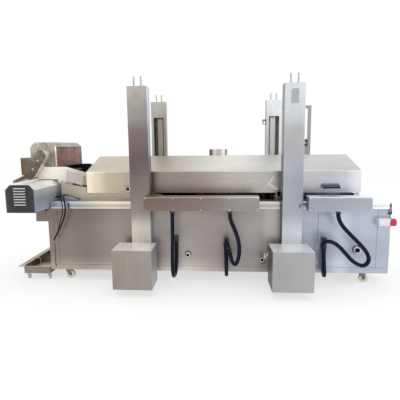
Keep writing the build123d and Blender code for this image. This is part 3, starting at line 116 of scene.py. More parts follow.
class Graph:
    """A material's node tree with short calls for the nodes that the finishes share."""

    noise_middle: ClassVar[Pair] = (0.25, 0.75)
    facing_reach: ClassVar[Pair] = (0.45, 0.85)
    # A mix node has its sockets once for each kind of value, and these are the colours' ones
    mix_inputs: ClassVar[tuple[int, ...]] = (0, 6, 7)
    mix_output: ClassVar[int] = 2

    def __init__(self, name: str) -> None:
        """Start a node material.

        Args:
            name: The material's name.
        """
        self.material = bpy.data.materials.new(name)
        self.material.use_nodes = True
        self.nodes = self.material.node_tree.nodes
        self.links = self.material.node_tree.links
        self.shader = next(node for node in self.nodes if node.type == "BSDF_PRINCIPLED")
        coordinates = self.nodes.new("ShaderNodeTexCoord")
        self.place = coordinates.outputs["Object"]
        self.outward = coordinates.outputs["Normal"]

    def noise(self, stretch: Point, detail: float = 3.0, rough: float = 0.6) -> Socket:
        """Add noise that is stretched along the axes with the smaller numbers.

        Args:
            stretch: How many grains fit in a metre along X, Y and Z.
            detail: The number of finer octaves.
            rough: How strong the finer octaves are.

        Returns:
            The noise's value socket.
        """
        mapping = self.nodes.new("ShaderNodeMapping")
        mapping.inputs["Scale"].default_value = stretch
        self.links.new(self.place, mapping.inputs["Vector"])
        texture = self.nodes.new("ShaderNodeTexNoise")
        texture.inputs["Scale"].default_value = 1.0
        texture.inputs["Detail"].default_value = detail
        texture.inputs["Roughness"].default_value = rough
        self.links.new(mapping.outputs["Vector"], texture.inputs["Vector"])
        return texture.outputs["Fac"]

    def remap(self, value: Socket, given: Pair, wanted: Pair = (0.0, 1.0)) -> Socket:
        """Map one range of a value to another.

        Args:
            value: The value to map.
            given: The range that the value comes in.
            wanted: The range that it leaves in.

        Returns:
            The mapped value socket.
        """
        node = self.nodes.new("ShaderNodeMapRange")
        for name, limit in zip(("From Min", "From Max", "To Min", "To Max"), (*given, *wanted)):
            node.inputs[name].default_value = limit
        self.links.new(value, node.inputs["Value"])
        return node.outputs["Result"]

    def spread(self, noise: Socket, low: float, high: float) -> Socket:
        """Map the middle of a noise's range to a wanted range."""
        return self.remap(noise, self.noise_middle, (low, high))

    def part_of(self, vector: Socket, index: int) -> Socket:
        """Return one coordinate of a vector socket.

        Args:
            vector: The vector to take apart.
            index: 0, 1 or 2 for X, Y or Z.

        Returns:
            The coordinate's socket.
        """
        split = self.nodes.new("ShaderNodeSeparateXYZ")
        self.links.new(vector, split.inputs["Vector"])
        return split.outputs[index]

    def tones(self, axis: Axis, stops: Sequence[Tone]) -> Socket:
        """Add a run of colours along one axis of the object.

        Args:
            axis: The axis that the colours change along.
            stops: Places in metres with their red, green and blue, in rising order.

        Returns:
            The colour socket.
        """
        first, last = stops[0][0], stops[-1][0]
        reach = self.remap(self.part_of(self.place, axis.value), (first, last))
        ramp = self.nodes.new("ShaderNodeValToRGB")
        ramp.color_ramp.interpolation = "EASE"
        elements = ramp.color_ramp.elements
        while len(elements) < len(stops):
            elements.new(0.5)
        for element, (place, *colour) in zip(elements, stops):
            element.position = (place - first) / (last - first)
            element.color = (*colour, 1.0)
        self.links.new(reach, ramp.inputs["Fac"])
        return ramp.outputs["Color"]

    def facing(self, side: Side) -> Socket:
        """Return how far the surface faces one side, from 0 to 1.

        Args:
            side: The side to face.

        Returns:
            The share's socket.
        """
        index, sign = side.value
        low, high = self.facing_reach
        return self.remap(self.part_of(self.outward, index), (low * sign, high * sign))

    def mix(
        self, kind: Blend, share: Socket | float, first: Socket | Colour, second: Socket | Colour
    ) -> Socket:
        """Mix two colours.

        Args:
            kind: How the second colour goes on the first.
            share: The share of the second colour.
            first: The first colour.
            second: The second colour.

        Returns:
            The mixed colour socket.
        """
        node = self.nodes.new("ShaderNodeMix")
        node.data_type = "RGBA"
        node.blend_type = kind.value
        for index, given in zip(self.mix_inputs, (share, first, second)):
            socket = node.inputs[index]
            if isinstance(given, Socket):
                self.links.new(given, socket)
            else:
                socket.default_value = given if isinstance(given, float) else (*given, 1.0)
        return node.outputs[self.mix_output]

    def bump(self, height: Socket, depth: float, strength: float) -> None:
        """Raise the surface by a height socket.

        Args:
            height: The height, from 0 to 1.
            depth: The height's real depth in metres.
            strength: How strongly the bump tilts the surface.
        """
        node = self.nodes.new("ShaderNodeBump")
        node.inputs["Distance"].default_value = depth
        node.inputs["Strength"].default_value = strength
        self.links.new(height, node.inputs["Height"])
        self.links.new(node.outputs["Normal"], self.shader.inputs["Normal"])

    def feed(self, name: str, value: Socket | float | tuple[float, ...]) -> None:
        """Set or link one of the shader's sockets.

        Args:
            name: The socket's name.
            value: A number or a colour to set, or a socket to link.
        """
        if isinstance(value, Socket):
            self.links.new(value, self.shader.inputs[name])
        else:
            self.shader.inputs[name].default_value = value

    def watched(self) -> Socket:
        """Add a value that is 1 for rays from the eye, off metal and through glass.

        Returns:
            The value's socket.
        """
        path = self.nodes.new("ShaderNodeLightPath")
        seen = path.outputs["Is Camera Ray"]
        for kind in ("Is Glossy Ray", "Is Transmission Ray"):
            either = self.nodes.new("ShaderNodeMath")
            either.operation = "MAXIMUM"
            self.links.new(seen, either.inputs[0])
            self.links.new(path.outputs[kind], either.inputs[1])
            seen = either.outputs["Value"]
        return seen


class Finish(ABC):
    """A named surface finish that makes its material once."""

    name: str
    made: ClassVar[dict[str, bpy.types.Material]] = {}

    @abstractmethod
    def draw(self, graph: Graph) -> None:
        """Fill a node tree with this finish."""

    def material(self) -> bpy.types.Material:
        """Make this finish's material on first use.

        Returns:
            The material, which every later call gets too.
        """
        if self.name not in Finish.made:
            graph = Graph(self.name)
            self.draw(graph)
            Finish.made[self.name] = graph.material
        return Finish.made[self.name]


@dataclass(frozen=True)
class BrushedSheet(Finish):
    """Brushed stainless sheet with painted reflections, highlights and shade that change along the machine,
    up its height and by the side it faces.

    The grains are counted in a metre along and across the brush lines.
    """

    name: str
    along: tuple[Tone, ...]
    upward: tuple[Tone, ...] = ()
    right_upward: tuple[Tone, ...] = ()
    # Painted light, shade and highlights on the sides that a sheet faces
    side_light: tuple[Tint, ...] = ()
    grain: Axis = Axis.X
    roughness: float = 0.3
    smear: float = 0.12
    haze: float = 0.0
    soil: float = 0.0
    metallic: float = 0.92
    line_grain: ClassVar[Pair] = (14.0, 900.0)
    streak_grain: ClassVar[Pair] = (2.0, 60.0)
    mark_grain: ClassVar[Pair] = (1.3, 3.2)
    haze_grain: ClassVar[Point] = (6.0, 6.0, 5.0)
    soil_grain: ClassVar[Point] = (21.0, 21.0, 17.0)
    line_shade: ClassVar[Colour] = (0.86, 0.86, 0.86)
    streak_shade: ClassVar[Colour] = (0.84, 0.84, 0.85)
    haze_tone: ClassVar[Colour] = (0.46, 0.44, 0.43)
    soil_tone: ClassVar[Colour] = (0.085, 0.062, 0.042)
    hand_change: ClassVar[tuple[Tone, ...]] = ((-0.2, 0.0, 0.0, 0.0), (0.8, 1.0, 1.0, 1.0))

    def grained(self, counts: Pair) -> Point:
        """Return grain counts for X, Y and Z from those along and across the grain."""
        return tuple(counts[0] if axis is self.grain else counts[1] for axis in Axis)

    def draw(self, graph: Graph) -> None:
        """Lay brush lines, faint wipe marks and the painted reflections, highlights and shade.

        Args:
            graph: The material's node tree.
        """
        lines = graph.noise(self.grained(self.line_grain), detail=2.0)
        streaks = graph.noise(self.grained(self.streak_grain), detail=3.0)
        marks = graph.noise(self.grained(self.mark_grain), detail=4.0, rough=0.55)
        colour = self.paint_light(graph)
        colour = graph.mix(Blend.MULTIPLY, graph.spread(lines, 0.0, 0.5), colour, self.line_shade)
        colour = graph.mix(Blend.MULTIPLY, graph.spread(streaks, 0.0, 0.5), colour, self.streak_shade)
        dim = 1.0 - 2.0 * self.smear
        colour = graph.mix(Blend.MULTIPLY, graph.spread(marks, 0.0, 1.0), colour, (dim, dim, dim))
        graph.feed("Base Color", self.dirty(graph, colour))
        graph.feed("Metallic", self.metallic)
        graph.feed("Roughness", graph.spread(lines, self.roughness - 0.05, self.roughness + 0.09))
        graph.bump(lines, depth=0.0002, strength=0.12)

    def paint_light(self, graph: Graph) -> Socket:
        """Add the painted reflections, highlights and shade along the machine, up its height and by side.

        Args:
            graph: The node tree to add to.

        Returns:
            The colour socket.
        """
        colour = graph.tones(Axis.X, self.along)
        if self.upward:
            rise = graph.tones(Axis.Z, self.upward)
            if self.right_upward:
                hand = graph.tones(Axis.X, self.hand_change)
                rise = graph.mix(Blend.MIX, hand, rise, graph.tones(Axis.Z, self.right_upward))
            colour = graph.mix(Blend.MULTIPLY, 1.0, colour, rise)
        for painted_side in self.side_light:
            shade = graph.tones(painted_side.axis, painted_side.bands) if painted_side.bands else painted_side.colour
            colour = graph.mix(Blend.MULTIPLY, graph.facing(painted_side.side), colour, shade)
        return colour

    def dirty(self, graph: Graph, colour: Socket) -> Socket:
        """Add the wiped haze and the baked-on blotches that a sheet has.

        Args:
            graph: The node tree to add to.
            colour: The clean sheet's colour.

        Returns:
            The colour socket.
        """
        if self.haze:
            wiped = graph.noise(self.haze_grain, detail=6.0, rough=0.7)
            share = graph.spread(wiped, -0.6 * self.haze, self.haze)
            colour = graph.mix(Blend.MIX, share, colour, self.haze_tone)
        if self.soil:
            baked = graph.noise(self.soil_grain, detail=8.0, rough=0.78)
            share = graph.spread(baked, -1.2 * self.soil, 1.9 * self.soil)
            colour = graph.mix(Blend.MIX, share, colour, self.soil_tone)
        return colour


@dataclass(frozen=True)
class BareMetal(Finish):
    """Plated, turned or oiled metal of one tone with fine scratches and dull patches."""

    name: str
    colour: Colour
    dark: Colour
    roughness: float = 0.35
    metallic: float = 0.9
    scale: float = 40.0

    def draw(self, graph: Graph) -> None:
        """Lay patches of darker metal under fine scratches.

        Args:
            graph: The material's node tree.
        """
        patches = graph.noise((self.scale,) * 3, detail=4.0)
        scratches = graph.noise((self.scale * 3, self.scale * 12, self.scale * 12), detail=2.0)
        worn = graph.spread(patches, 0.0, 0.8)
        graph.feed("Base Color", graph.mix(Blend.MIX, worn, self.colour, self.dark))
        graph.feed("Metallic", self.metallic)
        graph.feed("Roughness", graph.spread(patches, self.roughness - 0.06, self.roughness + 0.12))
        graph.bump(scratches, depth=0.0002, strength=0.15)


@dataclass(frozen=True)
class Moulded(Finish):
    """Moulded plastic or rubber with a fine pebble grain and rubbed patches."""

    name: str
    colour: Colour
    rubbed: Colour
    roughness: float = 0.5
    shine: float = 0.5
    glint: Colour = (1.0, 1.0, 1.0)
    pebble_grain: ClassVar[Point] = (700.0, 700.0, 700.0)
    patch_grain: ClassVar[Point] = (9.0, 9.0, 9.0)

    def draw(self, graph: Graph) -> None:
        """Lay the pebble grain and the rubbed patches.

        Args:
            graph: The material's node tree.
        """
        pebble = graph.noise(self.pebble_grain, detail=2.0)
        patches = graph.noise(self.patch_grain, detail=5.0)
        rubbed = graph.spread(patches, 0.0, 0.7)
        graph.feed("Base Color", graph.mix(Blend.MIX, rubbed, self.colour, self.rubbed))
        graph.feed("Roughness", graph.spread(patches, self.roughness - 0.07, self.roughness + 0.1))
        graph.feed("Specular IOR Level", self.shine)
        graph.feed("Specular Tint", (*self.glint, 1.0))
        graph.bump(pebble, depth=0.0002, strength=0.2)


@dataclass(frozen=True)
class Enamel(Finish):
    """Sprayed enamel with faint orange peel and worn patches."""

    name: str
    colour: Colour
    worn: Colour
    roughness: float = 0.4
    peel_grain: ClassVar[Point] = (320.0, 320.0, 320.0)
    patch_grain: ClassVar[Point] = (14.0, 14.0, 14.0)

    def draw(self, graph: Graph) -> None:
        """Lay the orange peel and the worn patches.

        Args:
            graph: The material's node tree.
        """
        peel = graph.noise(self.peel_grain, detail=1.0)
        patches = graph.noise(self.patch_grain, detail=5.0)
        worn = graph.spread(patches, 0.0, 0.5)
        graph.feed("Base Color", graph.mix(Blend.MIX, worn, self.colour, self.worn))
        graph.feed("Metallic", 0.1)
        graph.feed("Roughness", graph.spread(patches, self.roughness, self.roughness + 0.15))
        graph.bump(peel, depth=0.0003, strength=0.15)


@dataclass(frozen=True)
class StudioFloor(Finish):
    """A white floor whose shadow shows only faintly to the eye and in reflections."""

    name: str
    glow: float = 0.62
    grain: ClassVar[Point] = (60.0, 60.0, 60.0)
    pale: ClassVar[Colour] = (0.98, 0.98, 0.98)
    dull: ClassVar[Colour] = (0.96, 0.96, 0.96)

    def draw(self, graph: Graph) -> None:
        """Lay the floor's grain and mix in white for the rays that look at it.

        Args:
            graph: The material's node tree.
        """
        grain = graph.spread(graph.noise(self.grain, detail=2.0), 0.0, 0.5)
        graph.feed("Base Color", graph.mix(Blend.MIX, grain, self.pale, self.dull))
        graph.feed("Roughness", 0.85)
        graph.feed("Specular IOR Level", 0.0)
        share = graph.remap(graph.watched(), (0.0, 1.0), (0.0, self.glow))
        white = graph.nodes.new("ShaderNodeEmission")
        blend = graph.nodes.new("ShaderNodeMixShader")
        graph.links.new(share, blend.inputs[0])
        graph.links.new(graph.shader.outputs["BSDF"], blend.inputs[1])
        graph.links.new(white.outputs["Emission"], blend.inputs[2])
        output = next(node for node in graph.nodes if node.type == "OUTPUT_MATERIAL")
        graph.links.new(blend.outputs["Shader"], output.inputs["Surface"])


# Painted reflections of the surroundings along the cladding, with a painted lighter patch near x 1.65
# against the right conduit's shadow; the upward tones paint the rail and the lowest sheet lighter, each hand
# its own.
panel_steel = BrushedSheet(
    "panel_steel",
    along=(
        (-1.70, 0.27, 0.23, 0.20), (-1.40, 0.27, 0.235, 0.205), (-1.25, 0.25, 0.215, 0.19),
        (-0.85, 0.36, 0.325, 0.29), (-0.10, 0.45, 0.415, 0.39), (0.30, 0.41, 0.365, 0.35),
        (0.77, 0.47, 0.445, 0.44), (0.86, 0.60, 0.56, 0.53), (1.00, 0.53, 0.51, 0.49),
        (1.31, 0.55, 0.59, 0.67), (1.52, 0.59, 0.64, 0.75), (1.65, 0.80, 0.86, 0.98),
        (1.80, 0.60, 0.65, 0.77), (2.16, 0.63, 0.67, 0.80),
    ),
    upward=(
        (0.14, 1.90, 1.92, 1.86), (0.21, 1.75, 1.77, 1.72), (0.24, 1.38, 1.38, 1.36),
        (0.34, 1.08, 1.07, 1.07), (0.90, 0.92, 0.91, 0.90),
    ),
    right_upward=(
        (0.14, 0.98, 0.98, 0.98), (0.24, 0.90, 0.90, 0.90), (0.36, 0.82, 0.82, 0.81),
        (0.50, 0.87, 0.87, 0.87), (0.66, 0.98, 0.98, 0.98), (0.90, 0.92, 0.92, 0.92),
    ),
    roughness=0.34, metallic=0.55,
)
# Painted reflections along the hood, its front painted darker towards the middle, and painted highlights
# along the front's lower and upper folds near z 1.04 and 1.275.
hood_steel = BrushedSheet(
    "hood_steel",
    along=(
        (-1.25, 0.74, 0.67, 0.56), (-0.93, 0.745, 0.675, 0.56), (-0.30, 0.58, 0.545, 0.475),
        (0.40, 0.86, 0.84, 0.78), (0.90, 0.75, 0.74, 0.70), (1.87, 0.72, 0.73, 0.72),
    ),
    side_light=(
        Tint(
            Side.FRONT, axis=Axis.X,
            bands=(
                (-1.20, 1.66, 1.66, 1.50), (-1.12, 1.36, 1.35, 1.25), (-0.95, 0.86, 0.86, 0.80),
                (-0.70, 0.75, 0.73, 0.70), (-0.37, 0.66, 0.62, 0.65), (0.10, 0.59, 0.52, 0.53),
                (0.62, 0.76, 0.74, 0.74), (1.50, 0.88, 0.88, 0.96), (1.68, 0.98, 0.99, 1.07),
                (1.86, 1.32, 1.34, 1.44),
            ),
        ),
        Tint(
            Side.FRONT,
            bands=(
                (1.035, 1.18, 1.18, 1.16), (1.043, 0.97, 0.96, 0.95), (1.150, 1.04, 1.04, 1.03),
                (1.271, 1.02, 1.01, 1.0), (1.275, 1.45, 1.45, 1.40), (1.281, 1.45, 1.45, 1.40),
            ),
        ),
    ),
    roughness=0.34, smear=0.10,
)
# Painted reflections along the tank walls, with front faces painted lighter as lit.
tank_steel = BrushedSheet(
    "tank_steel",
    along=(
        (-1.70, 0.40, 0.35, 0.27), (-0.40, 0.32, 0.27, 0.20), (0.80, 0.33, 0.31, 0.29),
        (2.00, 0.42, 0.44, 0.48),
    ),
    side_light=(Tint(Side.FRONT, (1.62, 1.66, 1.72)),),
    roughness=0.34, smear=0.14, metallic=0.6,
)
# Painted reflections along the flange, with painted highlights along the front lip's lower and upper edges
# and painted shade between.
flange_steel = BrushedSheet(
    "flange_steel",
    along=(
        (-1.66, 0.50, 0.53, 0.62), (-1.35, 0.54, 0.55, 0.58), (-0.95, 0.90, 0.84, 0.70),
        (-0.70, 0.78, 0.72, 0.62), (-0.30, 0.40, 0.34, 0.32), (0.90, 0.68, 0.65, 0.61),
        (1.40, 0.62, 0.66, 0.74), (2.16, 1.30, 1.36, 1.40),
    ),
    side_light=(
        Tint(
            Side.FRONT,
            bands=(
                (0.875, 1.25, 1.22, 1.18), (0.884, 1.10, 1.08, 1.05), (0.900, 0.74, 0.72, 0.70),
                (0.922, 0.86, 0.85, 0.85), (0.944, 1.22, 1.22, 1.24), (0.958, 1.25, 1.25, 1.27),
            ),
        ),
    ),
    roughness=0.24,
)
# Painted reflections and shade up the front columns, each hand its own; left faces painted dark as shaded,
# right faces painted lighter towards the front as lit.
column_steel = BrushedSheet(
    "column_steel",
    along=((-0.70, 1.0, 1.0, 1.0), (1.20, 1.0, 1.0, 1.0)),
    upward=(
        (0.10, 0.58, 0.55, 0.49), (0.66, 0.72, 0.69, 0.62), (0.87, 0.36, 0.31, 0.285),
        (1.14, 0.28, 0.245, 0.22), (1.42, 0.21, 0.165, 0.165), (1.69, 0.27, 0.21, 0.20),
        (1.91, 0.41, 0.385, 0.37), (2.20, 0.59, 0.555, 0.53),
    ),
    right_upward=(
        (0.10, 0.70, 0.72, 0.75), (0.62, 0.72, 0.74, 0.77), (0.87, 0.48, 0.49, 0.55),
        (1.14, 0.46, 0.485, 0.55), (1.42, 0.56, 0.56, 0.60), (1.69, 0.61, 0.61, 0.62),
        (1.91, 0.84, 0.87, 0.895), (2.20, 0.90, 0.95, 1.0),
    ),
    side_light=(
        Tint(Side.LEFT, (0.28, 0.20, 0.17)),
        Tint(
            Side.RIGHT, axis=Axis.Y,
            bands=(
                (-0.528, 1.9, 2.1, 2.3), (-0.505, 1.5, 1.75, 2.1), (-0.470, 1.1, 1.4, 1.9),
                (-0.420, 0.7, 0.8, 1.1), (0.80, 0.7, 0.7, 0.75),
            ),
        ),
    ),
    grain=Axis.Z, roughness=0.26,
)
# Painted reflections up the rear columns, each hand its own; left faces painted dark as shaded, right faces
# a little darker, and front faces painted darker at the back edge.
rear_column_steel = BrushedSheet(
    "rear_column_steel",
    along=((-0.70, 1.0, 1.0, 1.0), (1.20, 1.0, 1.0, 1.0)),
    upward=(
        (0.10, 0.52, 0.49, 0.43), (1.40, 0.52, 0.495, 0.44), (1.70, 0.54, 0.515, 0.46),
        (2.20, 0.62, 0.59, 0.54),
    ),
    right_upward=((0.10, 0.94, 0.97, 1.0), (1.40, 0.96, 1.0, 1.04), (2.20, 1.04, 1.10, 1.15)),
    side_light=(
        Tint(Side.LEFT, (0.28, 0.20, 0.17)),
        Tint(Side.RIGHT, (0.75, 0.74, 0.76)),
        Tint(
            Side.FRONT, axis=Axis.Y,
            bands=(
                (0.69, 1.0, 1.0, 1.0), (0.785, 1.0, 1.0, 1.0), (0.797, 0.85, 0.83, 0.76),
                (0.81, 0.85, 0.83, 0.76),
            ),
        ),
    ),
    grain=Axis.Z, roughness=0.26,
)
# Painted light on the drive boxes: tops painted two to three and a half times lighter as lit from above,
# right faces lighter, left faces painted nearly black near the floor as shaded.
box_steel = BrushedSheet(
    "box_steel",
    along=((-0.82, 0.37, 0.32, 0.28), (0.20, 0.40, 0.37, 0.35), (1.25, 0.46, 0.46, 0.47)),
    side_light=(
        Tint(
            Side.TOP, axis=Axis.X,
            bands=(
                (-0.82, 3.1, 3.4, 3.6), (-0.25, 3.0, 3.2, 3.4), (0.82, 2.2, 2.3, 2.3),
                (1.25, 2.2, 2.3, 2.3),
            ),
        ),
        Tint(Side.RIGHT, (1.32, 1.48, 1.64)),
        Tint(
            Side.LEFT,
            bands=(
                (0.088, 0.08, 0.065, 0.055), (0.18, 0.10, 0.08, 0.07), (0.28, 0.36, 0.31, 0.28),
                (0.508, 0.33, 0.28, 0.25),
            ),
        ),
    ),
    roughness=0.36, grain=Axis.Z, metallic=0.5,
)
# Painted reflections along the heater boxes; a painted highlight along the front's top fold and a lighter
# bottom edge, tops and right faces painted about twice as light as lit, left faces a little darker.
heater_steel = BrushedSheet(
    "heater_steel",
    along=(
        (-0.50, 0.235, 0.18, 0.145), (0.10, 0.28, 0.225, 0.20), (0.60, 0.37, 0.345, 0.325),
        (1.20, 0.45, 0.45, 0.49), (1.85, 0.53, 0.56, 0.63),
    ),
    side_light=(
        Tint(
            Side.FRONT,
            bands=(
                (0.890, 1.15, 1.15, 1.15), (0.900, 1.0, 1.0, 1.0), (1.026, 1.0, 1.0, 1.0),
                (1.033, 1.9, 1.95, 1.95),
            ),
        ),
        Tint(Side.TOP, (2.1, 2.15, 2.1)),
        Tint(Side.LEFT, (0.95, 0.93, 0.92)),
        Tint(Side.RIGHT, (1.9, 1.95, 1.95)),
    ),
    roughness=0.3,
)
# Painted reflections and shade across the round collar: dark at both sides with painted bright streaks
# between.
collar_steel = BrushedSheet(
    "collar_steel",
    along=(
        (0.188, 0.26, 0.09, 0.05), (0.222, 0.24, 0.10, 0.06), (0.238, 0.80, 0.78, 0.72),
        (0.268, 0.98, 0.97, 0.88), (0.300, 0.58, 0.55, 0.50), (0.335, 0.72, 0.70, 0.66),
        (0.362, 1.10, 1.14, 1.18), (0.388, 1.10, 1.16, 1.22), (0.403, 0.42, 0.42, 0.44),
        (0.424, 0.20, 0.20, 0.21),
    ),
    roughness=0.3, grain=Axis.Z, metallic=0.5,
)
# Painted light on the motor cover: painted highlights along the front plate's edges, front faces set back
# behind the front plate painted nearly black as shade, painted reflections on the right faces by height and
# depth, and tops painted lighter.
cover_steel = BrushedSheet(
    "cover_steel",
    along=((-1.95, 0.74, 0.74, 0.74), (-1.62, 0.74, 0.76, 0.80)),
    side_light=(
        Tint(
            Side.FRONT, axis=Axis.Y,
            bands=(
                (-0.730, 1.3, 1.3, 1.25), (-0.7195, 1.3, 1.3, 1.25), (-0.7180, 0.07, 0.07, 0.074),
                (-0.60, 0.07, 0.07, 0.074),
            ),
        ),
        Tint(
            Side.FRONT, axis=Axis.X,
            bands=(
                (-1.946, 5.0, 5.0, 5.0), (-1.941, 4.0, 4.0, 4.0), (-1.937, 1.15, 1.08, 1.05),
                (-1.870, 0.72, 0.66, 0.68), (-1.700, 0.62, 0.62, 0.66), (-1.638, 0.72, 0.74, 0.80),
                (-1.632, 4.0, 4.1, 4.2), (-1.626, 5.0, 5.1, 5.2),
            ),
        ),
        Tint(
            Side.RIGHT, axis=Axis.Z,
            bands=((0.88, 0.80, 0.86, 1.02), (1.00, 0.66, 0.70, 0.80), (1.13, 1.0, 0.98, 0.95)),
        ),
        Tint(
            Side.RIGHT, axis=Axis.Y,
            bands=((-0.73, 0.90, 0.90, 0.92), (-0.50, 0.96, 0.96, 0.96), (-0.26, 1.45, 1.38, 1.28)),
        ),
        Tint(Side.TOP, (1.3, 1.25, 1.1)),
    ),
    roughness=0.42, metallic=0.35,
)
# Head cover front darker low and lighter high, with a painted highlight along its right fold; tops painted
# about twice as light as lit; right faces reddish brown low and dark grey above z 1.555.
head_steel = BrushedSheet(
    "head_steel",
    along=((-1.95, 0.64, 0.58, 0.50), (-1.62, 0.66, 0.60, 0.52)),
    side_light=(
        Tint(
            Side.FRONT,
            bands=(
                (1.34, 0.66, 0.68, 0.68), (1.46, 0.60, 0.62, 0.62), (1.56, 1.15, 1.18, 1.16),
                (1.63, 1.4, 1.4, 1.36),
            ),
        ),
        Tint(
            Side.FRONT, axis=Axis.X,
            bands=(
                (-1.941, 1.1, 1.08, 1.05), (-1.75, 0.9, 0.9, 0.9), (-1.640, 0.85, 0.88, 0.9),
                (-1.634, 2.2, 2.3, 2.4), (-1.621, 2.4, 2.5, 2.6),
            ),
        ),
        Tint(Side.TOP, (2.1, 2.0, 1.85)),
        Tint(
            Side.RIGHT, axis=Axis.Z,
            bands=(
                (1.34, 0.50, 0.20, 0.13), (1.50, 0.55, 0.22, 0.14), (1.545, 0.52, 0.25, 0.18),
                (1.555, 0.24, 0.24, 0.27), (1.58, 0.22, 0.22, 0.25),
            ),
        ),
    ),
    roughness=0.4, smear=0.20, haze=0.55, soil=0.5, metallic=0.45,
)
# Chain guard front darker towards the bottom; right faces painted about twice as light towards the front as
# lit, tops lighter.
guard_steel = BrushedSheet(
    "guard_steel",
    along=((-2.0, 0.62, 0.60, 0.56), (-1.62, 0.66, 0.65, 0.62)),
    side_light=(
        Tint(
            Side.FRONT, axis=Axis.Z,
            bands=(
                (1.15, 0.22, 0.16, 0.11), (1.35, 0.34, 0.28, 0.23), (1.46, 0.46, 0.42, 0.37),
                (1.52, 0.54, 0.51, 0.46),
            ),
        ),
        Tint(
            Side.RIGHT, axis=Axis.Y,
            bands=(
                (-0.32, 2.2, 2.1, 1.95), (-0.285, 2.0, 1.95, 1.8), (-0.275, 1.5, 1.42, 1.30),
                (-0.262, 1.9, 1.8, 1.65),
            ),
        ),
        Tint(Side.TOP, (1.5, 1.55, 1.6)),
    ),
    grain=Axis.Z, roughness=0.38, smear=0.2, soil=0.6, metallic=0.5,
)
# Chute front pale at its left edge and warm brown across, with a painted bluish sky reflection along its top
# edge.
chute_steel = BrushedSheet(
    "chute_steel",
    along=((-2.22, 0.44, 0.38, 0.32), (-1.90, 0.50, 0.44, 0.37)),
    side_light=(
        Tint(
            Side.FRONT, axis=Axis.X,
            bands=(
                (-2.195, 1.3, 1.28, 1.22), (-2.175, 1.0, 0.95, 0.88), (-2.150, 0.60, 0.48, 0.36),
                (-2.08, 0.44, 0.31, 0.19), (-1.94, 0.55, 0.45, 0.34),
            ),
        ),
        Tint(
            Side.FRONT,
            bands=(
                (1.137, 1.0, 1.0, 1.0), (1.40, 1.0, 1.0, 1.0), (1.425, 1.15, 1.3, 1.5),
                (1.445, 1.5, 1.8, 2.1),
            ),
        ),
    ),
    roughness=0.36, smear=0.25, soil=0.4, metallic=0.5,
)
# Painted reflections along the conveyor frames; the near frame's front faces a little darker and the far
# frame's painted nearly black as shaded.
frame_steel = BrushedSheet(
    "frame_steel",
    along=(
        (-1.97, 1.05, 1.02, 0.92), (-1.50, 1.10, 1.06, 0.93), (-1.20, 0.95, 0.91, 0.80),
        (1.90, 0.60, 0.60, 0.60),
    ),
    side_light=(
        Tint(
            Side.FRONT, axis=Axis.Y,
            bands=(
                (-0.32, 0.60, 0.60, 0.62), (-0.296, 0.60, 0.60, 0.62), (-0.27, 1.0, 1.0, 1.0),
                (0.3, 1.0, 1.0, 1.0), (0.45, 0.06, 0.05, 0.04),
            ),
        ),
    ),
    roughness=0.36, metallic=0.25,
)
# Crumb tray tops painted several times lighter as lit, the tray's floor most; side faces painted darker as
# shaded.
tray_steel = BrushedSheet(
    "tray_steel",
    along=((-2.10, 0.29, 0.265, 0.23), (-1.68, 0.31, 0.285, 0.25)),
    side_light=(
        Tint(
            Side.TOP,
            bands=(
                (0.10, 4.6, 4.3, 3.6), (0.135, 4.6, 4.3, 3.6), (0.145, 2.0, 1.85, 1.6),
                (0.30, 2.0, 1.85, 1.6),
            ),
        ),
        Tint(Side.RIGHT, (0.75, 0.62, 0.5)),
        Tint(Side.LEFT, (0.8, 0.66, 0.5)),
    ),
    roughness=0.34, smear=0.2, metallic=0.55,
)
# Pale and warm at the valve; valve fronts painted darker and tops painted lighter, as only the upper
# surfaces catch light; darker below z 0.30.
drain_steel = BrushedSheet(
    "drain_steel",
    along=(
        (-0.10, 0.70, 0.70, 0.70), (0.60, 0.74, 0.73, 0.70), (0.78, 1.0, 0.97, 0.87),
        (0.90, 1.0, 0.97, 0.87), (1.20, 0.70, 0.70, 0.71), (1.86, 0.70, 0.70, 0.72),
    ),
    upward=(
        (0.25, 0.42, 0.39, 0.39), (0.302, 0.44, 0.41, 0.41), (0.314, 1.0, 1.0, 1.0),
        (0.45, 1.0, 1.0, 1.0),
    ),
    side_light=(
        Tint(
            Side.FRONT, axis=Axis.X,
            bands=(
                (0.50, 1.0, 1.0, 1.0), (0.78, 0.50, 0.47, 0.43), (0.92, 0.40, 0.37, 0.34),
                (1.20, 1.0, 1.0, 1.0),
            ),
        ),
        Tint(Side.TOP, (1.25, 1.22, 1.15)),
    ),
    roughness=0.3, metallic=0.45,
)
clamp_steel = BrushedSheet(
    "clamp_steel",
    along=((1.00, 1.0, 1.0, 1.0), (1.30, 1.0, 1.0, 1.0)),
    upward=(
        (0.90, 0.44, 0.45, 0.49), (1.20, 0.50, 0.51, 0.55), (1.70, 0.07, 0.058, 0.05),
        (1.93, 0.06, 0.05, 0.045),
    ),
    roughness=0.42, metallic=0.5,
)
